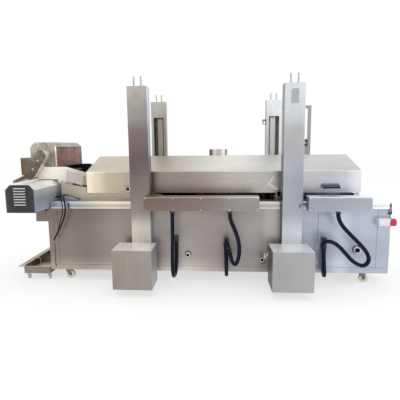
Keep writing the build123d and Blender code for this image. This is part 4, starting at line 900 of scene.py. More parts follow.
# Painted shade for the gap beside the corner post, darker low down.
post_gap_shade = BrushedSheet(
    "post_gap_shade",
    along=((-1.70, 1.0, 1.0, 1.0), (-1.50, 1.0, 1.0, 1.0)),
    upward=(
        (0.17, 0.10, 0.085, 0.07), (0.41, 0.11, 0.09, 0.075), (0.50, 0.25, 0.21, 0.185),
        (0.82, 0.25, 0.21, 0.185),
    ),
    roughness=0.45, metallic=0.4,
)
bright_plate = BareMetal("bright_plate", (0.62, 0.63, 0.65), (0.45, 0.46, 0.48), 0.28)
zinc_plate = BareMetal("zinc_plate", (0.56, 0.57, 0.59), (0.40, 0.41, 0.43), 0.36)
oiled_steel = BareMetal("oiled_steel", (0.16, 0.155, 0.15), (0.06, 0.058, 0.055), 0.34)
heater_sheath = BareMetal("heater_sheath", (0.34, 0.33, 0.32), (0.16, 0.14, 0.12), 0.4)
pressed_steel = BareMetal("pressed_steel", (0.24, 0.24, 0.245), (0.11, 0.11, 0.11), 0.42)
rod_steel = BareMetal("rod_steel", (0.62, 0.60, 0.585), (0.48, 0.465, 0.45), 0.4)
hook_steel = BareMetal("hook_steel", (0.74, 0.71, 0.64), (0.62, 0.585, 0.52), 0.36, 0.6)
turned_steel = BareMetal("turned_steel", (0.46, 0.46, 0.46), (0.33, 0.33, 0.33), 0.3)
chain_steel = BareMetal("chain_steel", (0.20, 0.19, 0.18), (0.06, 0.055, 0.05), 0.36, 0.8)
tan_plate = BareMetal("tan_plate", (0.41, 0.375, 0.315), (0.355, 0.325, 0.27), 0.45, metallic=0.5)
label_plate = BareMetal(
    "label_plate", (0.46, 0.455, 0.455), (0.39, 0.385, 0.385), 0.45, metallic=0.6,
)
# Black rubber for the conduits, leads and gaskets; also painted shade in the lugs' bores, along the
# closures' edges and under the handle cover.
black_rubber = Moulded(
    "black_rubber", (0.002, 0.003, 0.007), (0.004, 0.005, 0.012), 0.22, shine=0.26,
    glint=(0.50, 0.62, 0.95),
)
# Painted shade for the dark insides of the drains and the spout.
painted_bore_shade = Moulded("painted_bore_shade", (0.004, 0.003, 0.003), (0.008, 0.006, 0.005), 0.7, shine=0.02)
belt_wire = Moulded("belt_wire", (0.003, 0.002, 0.002), (0.006, 0.004, 0.003), 0.7, shine=0.02)
black_plastic = Moulded("black_plastic", (0.018, 0.018, 0.019), (0.04, 0.04, 0.04), 0.42)
white_plastic = Moulded("white_plastic", (0.74, 0.76, 0.80), (0.64, 0.655, 0.69), 0.35)
red_plastic = Moulded("red_plastic", (0.60, 0.024, 0.085), (0.41, 0.017, 0.060), 0.3, shine=0.28)
cream_nylon = Moulded("cream_nylon", (0.82, 0.79, 0.68), (0.62, 0.59, 0.48), 0.5)
motor_enamel = Enamel("motor_enamel", (0.16, 0.20, 0.25), (0.09, 0.10, 0.115))
# Bluish grey, partly a painted sky reflection on the sloping handle cover.
handle_steel = BareMetal("handle_steel", (0.20, 0.225, 0.29), (0.13, 0.15, 0.20), 0.4, metallic=0.6)
navy_plastic = Moulded("navy_plastic", (0.020, 0.026, 0.060), (0.034, 0.042, 0.085), 0.4)
polished_steel = BareMetal("polished_steel", (0.86, 0.86, 0.86), (0.74, 0.74, 0.74), 0.2)
control_enamel = Enamel("control_enamel", (0.345, 0.345, 0.35), (0.27, 0.27, 0.274))


# Mesh helpers

TO_FRONT = Vector((0.0, -1.0, 0.0))
TO_RIGHT = Vector((1.0, 0.0, 0.0))
UPRIGHT = Vector((0.0, 0.0, 1.0))
BOTH_HANDS = (-1.0, 1.0)

# Radii and heights of a washer with a recessed pan head, and of a nut, as shares of their sizes
PAN_HEAD = ((1.45, 0.0), (1.45, 0.2), (1.05, 0.24), (1.0, 0.5), (0.72, 0.8), (0.36, 0.86), (0.3, 0.5))
HEXAGON_NUT = ((1.0, 0.0), (1.0, 0.85), (0.86, 1.0), (0.5, 0.98))

SHARP_ANGLE = 0.6
ROUND_STEPS = 25


def paint_nodes(finish: Finish, *nodes: str) -> None:
    """Give solids a finish.

    Args:
        finish: The finish to use.
        nodes: The names of the solids.
    """
    for node in nodes:
        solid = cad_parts[node]
        if not solid.material_slots:
            solid.data.materials.append(None)
        for material_slot in solid.material_slots:
            material_slot.material = finish.material()


def place_piece(name: str, mesh: bpy.types.Mesh, body: str) -> bpy.types.Object:
    """Put a finished mesh in the scene as a piece that rides on a body.

    Args:
        name: The piece's name.
        mesh: The finished mesh.
        body: The body that it moves with.

    Returns:
        The new object.
    """
    piece = bpy.data.objects.new(name, mesh)
    bpy.context.scene.collection.objects.link(piece)
    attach(piece, body)
    log.info("piece %s: %d faces on %s", name, len(mesh.polygons), body)
    return piece


def add_piece(name: str, shape: Shape, finish: Finish, body: str) -> None:
    """Turn a built shape into a piece of the object that rides on a body.

    Args:
        name: The piece's name.
        shape: The built shape, which is used up.
        finish: The piece's finish.
        body: The body that it moves with.
    """
    bmesh.ops.recalc_face_normals(shape, faces=shape.faces)
    mesh = bpy.data.meshes.new(name)
    shape.to_mesh(mesh)
    shape.free()
    mesh.materials.append(finish.material())
    place_piece(name, mesh, body)


def row(first: float, last: float, count: int) -> list[float]:
    """Return evenly spaced places from first to last."""
    return [first + (last - first) * index / (count - 1) for index in range(count)]


def arc(middle: Pair, radii: Pair, turns: Pair, count: int) -> list[Pair]:
    """Return evenly spaced points on a part of an ellipse.

    Args:
        middle: The ellipse's middle.
        radii: Its two radii.
        turns: The first and the last angle.
        count: The number of points.

    Returns:
        The points in order.
    """
    (across, up), (wide, high) = middle, radii
    return [(across + wide * cos(turn), up + high * sin(turn)) for turn in row(*turns, count)]


def ring(middle: Pair, radius: float, count: int) -> list[Pair]:
    """Return evenly spaced points all around a circle."""
    return arc(middle, (radius, radius), (0.0, tau * (count - 1) / count), count)


def corners_of(xs: Pair, zs: Pair, inset: float = 0.0) -> list[Pair]:
    """Return the corners of a rectangle in order.

    Args:
        xs: Its left and right edges.
        zs: Its lower and upper edges.
        inset: How far the corners lie inside these edges.

    Returns:
        Four corners as X and Z.
    """
    (left, right), (low, high) = xs, zs
    foot, head = low + inset, high - inset
    return [(left + inset, foot), (right - inset, foot), (right - inset, head), (left + inset, head)]


def thread(radii: Pair, start: float, step: float, count: int) -> list[Pair]:
    """Return a turned profile that goes in and out like a screw thread.

    Args:
        radii: The two radii that take turns.
        start: The height of the first ridge.
        step: The height from one radius to the next.
        count: The number of steps.

    Returns:
        Radii with their heights.
    """
    return [(radii[number % 2], start + number * step) for number in range(count)]


def lathe(shape: Shape, origin: Point, axis: Vector, profile: Sequence[Pair], sides: int = 14) -> None:
    """Add a turned form, closed at both ends.

    Args:
        shape: The shape to add to.
        origin: The foot of the turning axis.
        axis: The direction of the turning axis.
        profile: Radii with their heights along the axis, from the foot up.
        sides: The number of sides around the axis.
    """
    upright = axis.normalized()
    across = upright.orthogonal().normalized()
    along = upright.cross(across)
    turns = [tau * index / sides for index in range(sides)]
    rings = []
    for radius, height in profile:
        middle = Vector(origin) + upright * height
        points = [middle + (across * cos(turn) + along * sin(turn)) * radius for turn in turns]
        rings.append([shape.verts.new(point) for point in points])
    for low, high in zip(rings, rings[1:]):
        for index in range(sides):
            after = (index + 1) % sides
            shape.faces.new((low[index], low[after], high[after], high[index]))
    shape.faces.new(rings[0])
    shape.faces.new(rings[-1])


def prism(shape: Shape, outline: Sequence[Point | Vector], depth: Vector) -> None:
    """Add a plate with a drawn outline.

    Args:
        shape: The shape to add to.
        outline: The outline's corners in order, all in one plane.
        depth: The way from one face of the plate to the other.
    """
    near = [shape.verts.new(corner) for corner in outline]
    far = [shape.verts.new(Vector(corner) + depth) for corner in outline]
    shape.faces.new(near)
    shape.faces.new(far)
    for index in range(len(outline)):
        after = (index + 1) % len(outline)
        shape.faces.new((near[index], near[after], far[after], far[index]))


def plate(shape: Shape, outline: Sequence[Pair], y: float, depth: float) -> None:
    """Add a plate that faces along Y.

    Args:
        shape: The shape to add to.
        outline: The outline's corners as X and Z.
        y: The plane of the plate's first face.
        depth: The way along Y to its second face.
    """
    prism(shape, [(x, y, z) for x, z in outline], Vector((0.0, depth, 0.0)))


def border(shape: Shape, xs: Pair, zs: Pair, y: float, depth: float, width: float) -> None:
    """Add a rectangular rim of four mitred bars that faces along Y.

    Args:
        shape: The shape to add to.
        xs: The rim's outer left and right edges.
        zs: The rim's outer lower and upper edges.
        y: The plane of the rim's first face.
        depth: The way along Y to its second face.
        width: The width of the bars.
    """
    outer, inner = corners_of(xs, zs), corners_of(xs, zs, width)
    for index in range(4):
        after = (index + 1) % 4
        plate(shape, (outer[index], outer[after], inner[after], inner[index]), y, depth)


def soften(shape: Shape, width: float) -> None:
    """Bevel a shape's sharp edges.

    Args:
        shape: The shape to bevel.
        width: The bevel's width.
    """
    folds = [edge for edge in shape.edges if len(edge.link_faces) == 2]
    sharp = [edge for edge in folds if edge.calc_face_angle() > SHARP_ANGLE]
    bmesh.ops.bevel(shape, geom=sharp, offset=width, segments=2, affect="EDGES", clamp_overlap=True)


def screw(shape: Shape, seat: Point, outward: Vector, radius: float) -> None:
    """Add a pan-head screw with a washer and a driver recess.

    Args:
        shape: The shape to add to.
        seat: The point under the head's middle.
        outward: The direction that the head looks in.
        radius: The head's radius.
    """
    lathe(shape, seat, outward, [(radius * share, radius * rise) for share, rise in PAN_HEAD])


def hexagon(shape: Shape, seat: Point, outward: Vector, radius: float, height: float) -> None:
    """Add a hexagon nut with a chamfered crown.

    Args:
        shape: The shape to add to.
        seat: The point under the nut's middle.
        outward: The direction that the nut looks in.
        radius: The radius over the corners.
        height: The nut's height.
    """
    crown = [(radius * share, height * rise) for share, rise in HEXAGON_NUT]
    lathe(shape, seat, outward, crown, 6)


@dataclass
class Bundle:
    """Many small prisms and wires that become one piece."""

    points: list[Vector] = field(default_factory=list)
    faces: list[tuple[int, ...]] = field(default_factory=list)

    def prism(self, outline: Sequence[Vector], depth: Vector) -> None:
        """Add a plate with a drawn outline.

        Args:
            outline: The outline's corners in order, all in one plane.
            depth: The way from one face of the plate to the other.
        """
        base, count = len(self.points), len(outline)
        self.points += [*outline, *(corner + depth for corner in outline)]
        self.faces.append(tuple(range(base, base + count)))
        self.faces.append(tuple(range(base + 2 * count - 1, base + count - 1, -1)))
        for index in range(count):
            after = (index + 1) % count
            self.faces.append((base + after, base + index, base + count + index, base + count + after))

    def wire(self, start: Vector, end: Vector, radius: float, sides: int, capped: bool = True) -> None:
        """Add a straight wire between two points.

        Args:
            start: The middle of its first end.
            end: The middle of its second end.
            radius: The wire's radius.
            sides: The number of sides around it.
            capped: Whether its ends are closed.
        """
        run = (end - start).normalized()
        across = run.orthogonal().normalized() * radius
        along = run.cross(across)
        turns = [tau * side / sides for side in range(sides)]
        if capped:
            self.prism([start + across * cos(turn) + along * sin(turn) for turn in turns], end - start)
            return
        base = len(self.points)
        for middle in (start, end):
            self.points += [middle + across * cos(turn) + along * sin(turn) for turn in turns]
        for side in range(sides):
            after = (side + 1) % sides
            self.faces.append((base + side, base + after, base + sides + after, base + sides + side))

    def piece(self, name: str, finish: Finish, body: str, slot: str) -> bpy.types.Object:
        """Turn the bundle into a piece that rides on a body.

        Args:
            name: The piece's name.
            finish: The piece's finish.
            body: The body that it moves with.
            slot: The material slot that it belongs to; not used.

        Returns:
            The new object.
        """
        mesh = bpy.data.meshes.new(name)
        mesh.from_pydata(self.points, [], self.faces)
        mesh.materials.append(finish.material())
        return place_piece(name, mesh, body)


def loop_points(
    runs: Sequence[Sequence[Pair]], rounds: Sequence[tuple[Pair, float, float, float]], step: float
) -> list[tuple[Vector, Vector]]:
    """Walk around a closed side view in even steps.

    Args:
        runs: The straight runs' corners as X and Z, each run followed by a round.
        rounds: The rounds as a middle, a radius, a first and a last angle.
        step: The wanted length of a step.

    Returns:
        Points with their outward directions in the XZ plane.
    """
    trace: list[Vector] = []
    for run, (middle, radius, first, last) in zip(runs, rounds):
        bend = arc(middle, (radius, radius), (first, last), ROUND_STEPS)[1:-1]
        trace += [Vector((x, 0.0, z)) for x, z in (*run, *bend)]
    trace.append(trace[0])
    lengths = [0.0]
    for before, after in zip(trace, trace[1:]):
        lengths.append(lengths[-1] + (after - before).length)
    count = 2 * round(lengths[-1] / step / 2)
    places, index = [], 0
    for number in range(count):
        reach = lengths[-1] * number / count
        while lengths[index + 1] < reach:
            index += 1
        run = trace[index + 1] - trace[index]
        place = trace[index] + run * ((reach - lengths[index]) / run.length)
        places.append((place, Vector((run.z, 0.0, -run.x)).normalized()))
    return places


class SubAssembly(ABC):
    """A group of solids with the fine pieces that dress them."""

    @abstractmethod
    def dress(self) -> None:
        """Give the group's solids their finishes."""

    @abstractmethod
    def build(self) -> None:
        """Build the group's fine pieces."""


# Sub-assemblies


@dataclass
class Body(SubAssembly):
    """The base frame, the cladding and the oil tank with its flange."""

    front_y: float = -0.413
    sheet_xs: Pair = (1.418, 2.022)
    sheet_zs: Pair = (0.222, 0.857)
    screws_a_side: int = 4
    screw_radius: float = 0.0036
    # A thin dark strip of painted shade stands for the gap between the corner post and the panel.
    gap_shade_outline: tuple[Pair, ...] = ((-1.612, 0.17), (-1.600, 0.17), (-1.593, 0.82), (-1.605, 0.82))
    gap_shade_depth: float = 0.0008
    closure_high: Pair = (-1.5405, 1.0190)
    closure_low: Pair = (-1.3180, 0.9570)
    closure_faces: Pair = (-0.2985, 0.5795)
    closure_sheet: float = 0.0015
    # The dark strips along the closures' sloping edges are painted shade where the trough wall meets the
    # flange.
    shade_strip_height: float = 0.008
    shade_strip_depth: float = 0.004
    clip_hook: tuple[Pair, ...] = (
        (2.1400, 0.930), (2.1560, 0.934), (2.1660, 0.922), (2.1660, 0.870), (2.1720, 0.846),
        (2.1720, 0.816), (2.1520, 0.806),
    )
    clip_return: tuple[Pair, ...] = (
        (2.1440, 0.824), (2.1560, 0.832), (2.1560, 0.846), (2.1440, 0.866), (2.1400, 0.890),
    )
    clip_depth: float = 0.020
    clip_round: float = 0.0025
    stripe_middle: Pair = (2.1585, 0.866)
    stripe_outer: Pair = (0.013, 0.030)
    stripe_inner: Pair = (0.0085, 0.024)
    stripe_turns: Pair = (1.9, 4.4)
    stripe_points: int = 9
    stripe_depth: float = 0.0012

    def dress(self) -> None:
        """Give the body's solids their finishes."""
        paint_nodes(panel_steel, "base_frame", "cross_ties", "body_panels")
        paint_nodes(tank_steel, "tank_floor", "tank_walls")
        paint_nodes(flange_steel, "tank_flange")

    def build(self) -> None:
        """Build the service sheet's screws, the painted shade in the corner post's gap, the clip and the end
        closures.
        """
        self.screws()
        gap_shade = bmesh.new()
        plate(gap_shade, self.gap_shade_outline, self.front_y, -self.gap_shade_depth)
        add_piece("post_gap", gap_shade, post_gap_shade, "base")
        self.clip()
        self.closures()

    def screws(self) -> None:
        """Build the screws along the edges of the service sheet."""
        shape = bmesh.new()
        places = [(x, z) for x in row(*self.sheet_xs, self.screws_a_side) for z in self.sheet_zs]
        places += [(x, z) for z in row(*self.sheet_zs, self.screws_a_side)[1:-1] for x in self.sheet_xs]
        for screw_x, screw_z in places:
            screw(shape, (screw_x, self.front_y, screw_z), TO_FRONT, self.screw_radius)
        add_piece("sheet_screws", shape, bright_plate, "base")

    def closures(self) -> None:
        """Build the sheets that close the gap under the trough's raised end, with dark strips of painted
        shade along their sloping edges.
        """
        sheets, shade_strips = bmesh.new(), bmesh.new()
        (high_x, high_z), (low_x, low_z) = self.closure_high, self.closure_low
        sheet = ((high_x, high_z), (low_x, low_z), (high_x, low_z))
        shade_strip = (
            (high_x, high_z), (low_x, low_z),
            (low_x, low_z + self.shade_strip_height), (high_x, high_z + self.shade_strip_height),
        )
        for face, outward in zip(self.closure_faces, BOTH_HANDS):
            plate(sheets, sheet, face, -outward * self.closure_sheet)
            plate(shade_strips, shade_strip, face, outward * self.shade_strip_depth)
        add_piece("end_closures", sheets, flange_steel, "base")
        add_piece("end_shade_strips", shade_strips, black_rubber, "base")

    def clip(self) -> None:
        """Build a bent navy clip with a pale curved stripe at the flange's right end."""
        strap = bmesh.new()
        plate(strap, (*self.clip_hook, *self.clip_return), self.front_y, -self.clip_depth)
        soften(strap, self.clip_round)
        add_piece("flange_clip", strap, navy_plastic, "base")
        first, last = self.stripe_turns
        outer = arc(self.stripe_middle, self.stripe_outer, (first, last), self.stripe_points)
        inner = arc(self.stripe_middle, self.stripe_inner, (last, first), self.stripe_points)
        stripe = bmesh.new()
        plate(stripe, (*outer, *inner), self.front_y - self.clip_depth, -self.stripe_depth)
        add_piece("clip_stripe", stripe, white_plastic, "base")


@dataclass
class Hoist(SubAssembly):
    """The four columns, their chains and the drives at their feet."""

    columns: Pair = (-0.548, 1.094)
    column_top: float = 2.2
    wheel_ys: Pair = (-0.483, 0.764)
    low: float = 0.300
    high: float = 2.090
    chain_radius: float = 0.050
    pitch: float = 0.01905
    link_half: float = 0.0054
    link_thick: float = 0.0016
    link_points: int = 4
    outer_gap: float = 0.0060
    inner_gap: float = 0.0042
    roller_half: float = 0.0041
    roller_radius: float = 0.0046
    roller_sides: int = 7
    rod_offset: float = 0.0385
    thread_radii: Pair = (0.0088, 0.0079)
    thread_start: float = 0.002
    thread_step: float = 0.00135
    thread_steps: int = 74
    thread_sides: int = 9
    label_y: float = -0.5281
    label_half: float = 0.039
    label_foot: float = 1.995
    label_round: float = 0.01
    label_round_x: float = 0.029
    label_round_z: float = 2.131
    label_round_points: int = 5
    label_depth: float = 0.0012
    rivet_x: float = 0.031
    rivet_zs: Pair = (2.004, 2.128)
    rivet_dome: tuple[Pair, ...] = ((0.0034, 0.0), (0.0030, 0.0008), (0.0012, 0.0014))
    rivet_sides: int = 10

    def dress(self) -> None:
        """Give the hoist's solids their finishes."""
        paint_nodes(column_steel, "front_columns")
        paint_nodes(rear_column_steel, "rear_columns")
        paint_nodes(box_steel, "drive_boxes")
        paint_nodes(motor_enamel, "gearmotors")
        paint_nodes(zinc_plate, "lift_bearings", "left_lift_shaft", "right_lift_shaft")
        paint_nodes(rod_steel, "chain_tensioners")
        paint_nodes(oiled_steel, "lift_chains", "left_idler_wheels", "right_idler_wheels")

    def build(self) -> None:
        """Build the chains' links, the rods' threads and the bare label plates."""
        self.chains()
        self.threads()
        self.labels()

    def chains(self) -> None:
        """Build roller chains with outer and inner plates around the wheels."""
        links = Bundle()
        for column_x in self.columns:
            right, left = column_x + self.chain_radius, column_x - self.chain_radius
            runs = (((left, self.low), (left, self.high)), ((right, self.high), (right, self.low)))
            rounds = (
                ((column_x, self.high), self.chain_radius, pi, 0.0),
                ((column_x, self.low), self.chain_radius, 0.0, -pi),
            )
            places = [place for place, _ in loop_points(runs, rounds, self.pitch)]
            for wheel_y in self.wheel_ys:
                for number, (start, end) in enumerate(zip(places, (*places[1:], places[0]))):
                    self.link(links, start, end, wheel_y, number % 2 == 0)
        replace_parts(links.piece("lift_chain_links", chain_steel, "base", "chain_steel"), "lift_chains")

    def link(self, links: Bundle, start: Vector, end: Vector, wheel_y: float, outer: bool) -> None:
        """Add one link: two rounded plates and the roller at its start.

        Args:
            links: The bundle to add to.
            start: The middle of the link's first roller, in the plane of Y zero.
            end: The middle of its second roller.
            wheel_y: The plane of the chain.
            outer: Whether it is an outer link.
        """
        run = (end - start).normalized()
        rise = Vector((-run.z, 0.0, run.x))
        half = self.link_half
        outline = []
        for middle, first in ((end, -pi / 2), (start, pi / 2)):
            for turn in row(first, first + pi, self.link_points):
                outline.append(middle + run * half * cos(turn) + rise * half * sin(turn))
        inside = self.outer_gap if outer else self.inner_gap
        for sign in BOTH_HANDS:
            shift = Vector((0.0, wheel_y + sign * inside, 0.0))
            links.prism([corner + shift for corner in outline], Vector((0.0, sign * self.link_thick, 0.0)))
        roller, reach = start + Vector((0.0, wheel_y, 0.0)), Vector((0.0, self.roller_half, 0.0))
        links.wire(roller - reach, roller + reach, self.roller_radius, self.roller_sides, False)

    def threads(self) -> None:
        """Build the threads on the rods that stand above the columns."""
        shape = bmesh.new()
        profile = thread(self.thread_radii, self.thread_start, self.thread_step, self.thread_steps)
        for column_x in self.columns:
            for wheel_y in self.wheel_ys:
                for rod_x in (column_x - self.rod_offset, column_x + self.rod_offset):
                    foot = (rod_x, wheel_y, self.column_top)
                    lathe(shape, foot, UPRIGHT, profile, self.thread_sides)
        add_piece("tensioner_threads", shape, rod_steel, "base")

    def labels(self) -> None:
        """Build a bare plate with rivets high on each front column."""
        hands = zip(("left", "right"), self.columns, (tan_plate, label_plate))
        radii = (self.label_round, self.label_round)
        for hand, column_x, finish in hands:
            outline = [(column_x + side * self.label_half, self.label_foot) for side in (1.0, -1.0)]
            for side, first in zip(BOTH_HANDS, (pi, pi / 2)):
                middle = (column_x + side * self.label_round_x, self.label_round_z)
                outline += arc(middle, radii, (first, first - pi / 2), self.label_round_points)
            shape = bmesh.new()
            plate(shape, outline, self.label_y, -self.label_depth)
            add_piece(f"label_plate_{hand}", shape, finish, "base")
            rivets = bmesh.new()
            for side in BOTH_HANDS:
                for rivet_z in self.rivet_zs:
                    seat = (column_x + side * self.rivet_x, self.label_y - self.label_depth, rivet_z)
                    lathe(rivets, seat, TO_FRONT, self.rivet_dome, self.rivet_sides)
            add_piece(f"label_rivets_{hand}", rivets, bright_plate, "base")


@dataclass(frozen=True)
class Cord:
    """A flexible cord on a smooth curve with its route's points."""

    node: str
    points: tuple[Point, ...]
    length: float
    diameter: float
    far_end: FarEnd
    stiffness: Stiffness
    order: ClassVar[int] = 3
    steps: ClassVar[int] = 10
    roundness: ClassVar[int] = 5

    def build(self) -> None:
        curve = bpy.data.curves.new(self.node + "_sheath", "CURVE")
        curve.dimensions = "3D"
        spline = curve.splines.new("NURBS")
        spline.points.add(len(self.points) - 1)
        for control, place in zip(spline.points, self.points):
            control.co = (*place, 1.0)
        spline.order_u = self.order
        spline.use_endpoint_u = True
        spline.resolution_u = self.steps
        curve.bevel_depth = self.diameter / 2
        curve.bevel_resolution = self.roundness
        curve.use_fill_caps = True
        curve.materials.append(black_rubber.material())
        cord = bpy.data.objects.new(self.node + "_sheath", curve)
        bpy.context.scene.collection.objects.link(cord)
        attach(cord, "base")
        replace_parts(cord, self.node)
        log.info("cord %s: %.2f m", self.node, self.length)


@dataclass
class Heaters(SubAssembly):
    """The heater boxes with their tubes, and the conduits that hang from them."""

    gland_xs: tuple[float, ...] = (-0.187, 0.427, 1.546)
    gland_y: float = -0.5965
    conduits: tuple[Cord, ...] = (
        Cord(
            "conduit_left",
            (
                (-0.187, -0.5965, 0.862), (-0.187, -0.5965, 0.610), (-0.195, -0.5945, 0.370),
                (-0.193, -0.5965, 0.135), (-0.179, -0.455, 0.135), (-0.167, -0.455, 0.330),
                (-0.167, -0.455, 0.510),
            ),
            1.190, 0.042, FarEnd.OBJECT, Stiffness.STIFF,
        ),
        Cord(
            "conduit_middle",
            (
                (0.427, -0.5965, 0.862), (0.427, -0.5965, 0.800), (0.463, -0.5985, 0.715),
                (0.507, -0.6045, 0.610), (0.529, -0.6065, 0.500), (0.525, -0.6065, 0.390),
                (0.495, -0.6065, 0.292), (0.453, -0.6065, 0.318), (0.433, -0.6065, 0.400),
                (0.415, -0.6065, 0.470), (0.399, -0.6025, 0.540), (0.381, -0.53875, 0.540),
                (0.385, -0.53075, 0.440), (0.390, -0.53075, 0.290), (0.393, -0.53075, 0.141),
                (0.394, -0.455, 0.141), (0.396, -0.455, 0.270), (0.394, -0.455, 0.400),
                (0.394, -0.455, 0.488),
            ),
            1.690, 0.042, FarEnd.OBJECT, Stiffness.STIFF,
        ),
        Cord(
            "conduit_right",
            (
                (1.546, -0.5965, 0.862), (1.546, -0.5965, 0.810), (1.592, -0.5995, 0.725),
                (1.670, -0.6065, 0.640), (1.771, -0.6085, 0.540), (1.846, -0.6085, 0.455),
                (1.880, -0.6085, 0.370), (1.846, -0.6085, 0.306), (1.784, -0.6065, 0.303),
                (1.706, -0.6065, 0.350), (1.636, -0.6065, 0.430), (1.566, -0.6045, 0.510),
                (1.496, -0.6005, 0.556), (1.434, -0.5925, 0.560), (1.408, -0.55475, 0.510),
                (1.434, -0.53075, 0.430), (1.442, -0.53075, 0.300), (1.454, -0.53075, 0.145),
                (1.460, -0.455, 0.145), (1.464, -0.455, 0.270), (1.465, -0.455, 0.400),
                (1.465, -0.455, 0.498),
            ),
            2.011, 0.042, FarEnd.OBJECT, Stiffness.STIFF,
        ),
    )
    box_y: float = -0.653
    long_box_xs: Pair = (-0.466, 0.712)
    long_box_screws: int = 5
    short_box_xs: Pair = (1.244, 1.847)
    short_box_screws: int = 3
    screw_zs: Pair = (1.024, 0.904)
    screw_radius: float = 0.0036
    # Each tie's middle, the conduit's direction there and the way that its tail points
    wraps: tuple[tuple[Point, Point, Point], ...] = (
        ((0.3835, -0.53075, 0.488), (0.03, 0.0, 1.0), (-1.0, -0.55, 0.35)),
        ((0.4105, -0.6065, 0.486), (-0.25, 0.0, 1.0), (1.0, -0.6, -0.2)),
        ((1.4215, -0.54075, 0.478), (0.25, 0.10, -1.0), (1.0, -0.5, -0.15)),
    )
    strap: tuple[Pair, ...] = ((0.0224, -0.0035), (0.0228, -0.0028), (0.0228, 0.0028), (0.0224, 0.0035))
    strap_sides: int = 20
    buckle_reach: float = 0.0215
    buckle_half: float = 0.0042
    buckle_length: float = 0.008
    tail_length: float = 0.016
    tail_width: float = 0.7
    tail_thick: float = 0.3
    rib_count: int = 12
    rib_circle: float = 0.0262
    rib_foot: float = 0.866
    rib_profile: tuple[Pair, ...] = ((0.0010, 0.0), (0.0018, 0.003), (0.0018, 0.017), (0.0010, 0.020))
    rib_sides: int = 6

    def dress(self) -> None:
        """Give the heaters' solids their finishes."""
        paint_nodes(heater_steel, "heater_boxes")
        paint_nodes(heater_sheath, "heater_tubes")
        paint_nodes(black_plastic, "conduit_glands")

    def build(self) -> None:
        """Build the conduits with their ties and gland ribs, and the boxes' screws."""
        for conduit in self.conduits:
            conduit.build()
        self.screws()
        self.ties()
        self.gland_ribs()

    def screws(self) -> None:
        """Build the screws that hold the boxes' fronts."""
        shape = bmesh.new()
        long_row = row(*self.long_box_xs, self.long_box_screws)
        short_row = row(*self.short_box_xs, self.short_box_screws)
        for screw_x in (*long_row, *short_row):
            for screw_z in self.screw_zs:
                screw(shape, (screw_x, self.box_y, screw_z), TO_FRONT, self.screw_radius)
        add_piece("heater_box_screws", shape, polished_steel, "base")

    def ties(self) -> None:
        """Build the ratchet ties around the two long conduits, with their heads and cut tails."""
        shape = bmesh.new()
        for middle, run, tail in self.wraps:
            lathe(shape, middle, Vector(run), self.strap, self.strap_sides)
            outward = Vector(tail).normalized()
            start = Vector(middle) + outward * self.buckle_reach
            wide = outward.orthogonal().normalized() * self.buckle_half
            high = outward.cross(wide)
            buckle = [start + wide + high, start - wide + high, start - wide - high, start + wide - high]
            prism(shape, buckle, outward * self.buckle_length)
            end = start + outward * self.buckle_length
            edge, thick = wide * self.tail_width, high * self.tail_thick
            cut = [end + edge, end - edge, end - edge + thick, end + edge + thick]
            prism(shape, cut, outward * self.tail_length)
        add_piece("conduit_ties", shape, black_plastic, "base")

    def gland_ribs(self) -> None:
        """Build the ribbed dome nuts under the boxes."""
        shape = bmesh.new()
        for gland_x in self.gland_xs:
            for rib_x, rib_y in ring((gland_x, self.gland_y), self.rib_circle, self.rib_count):
                lathe(shape, (rib_x, rib_y, self.rib_foot), UPRIGHT, self.rib_profile, self.rib_sides)
        add_piece("gland_ribs", shape, black_plastic, "base")


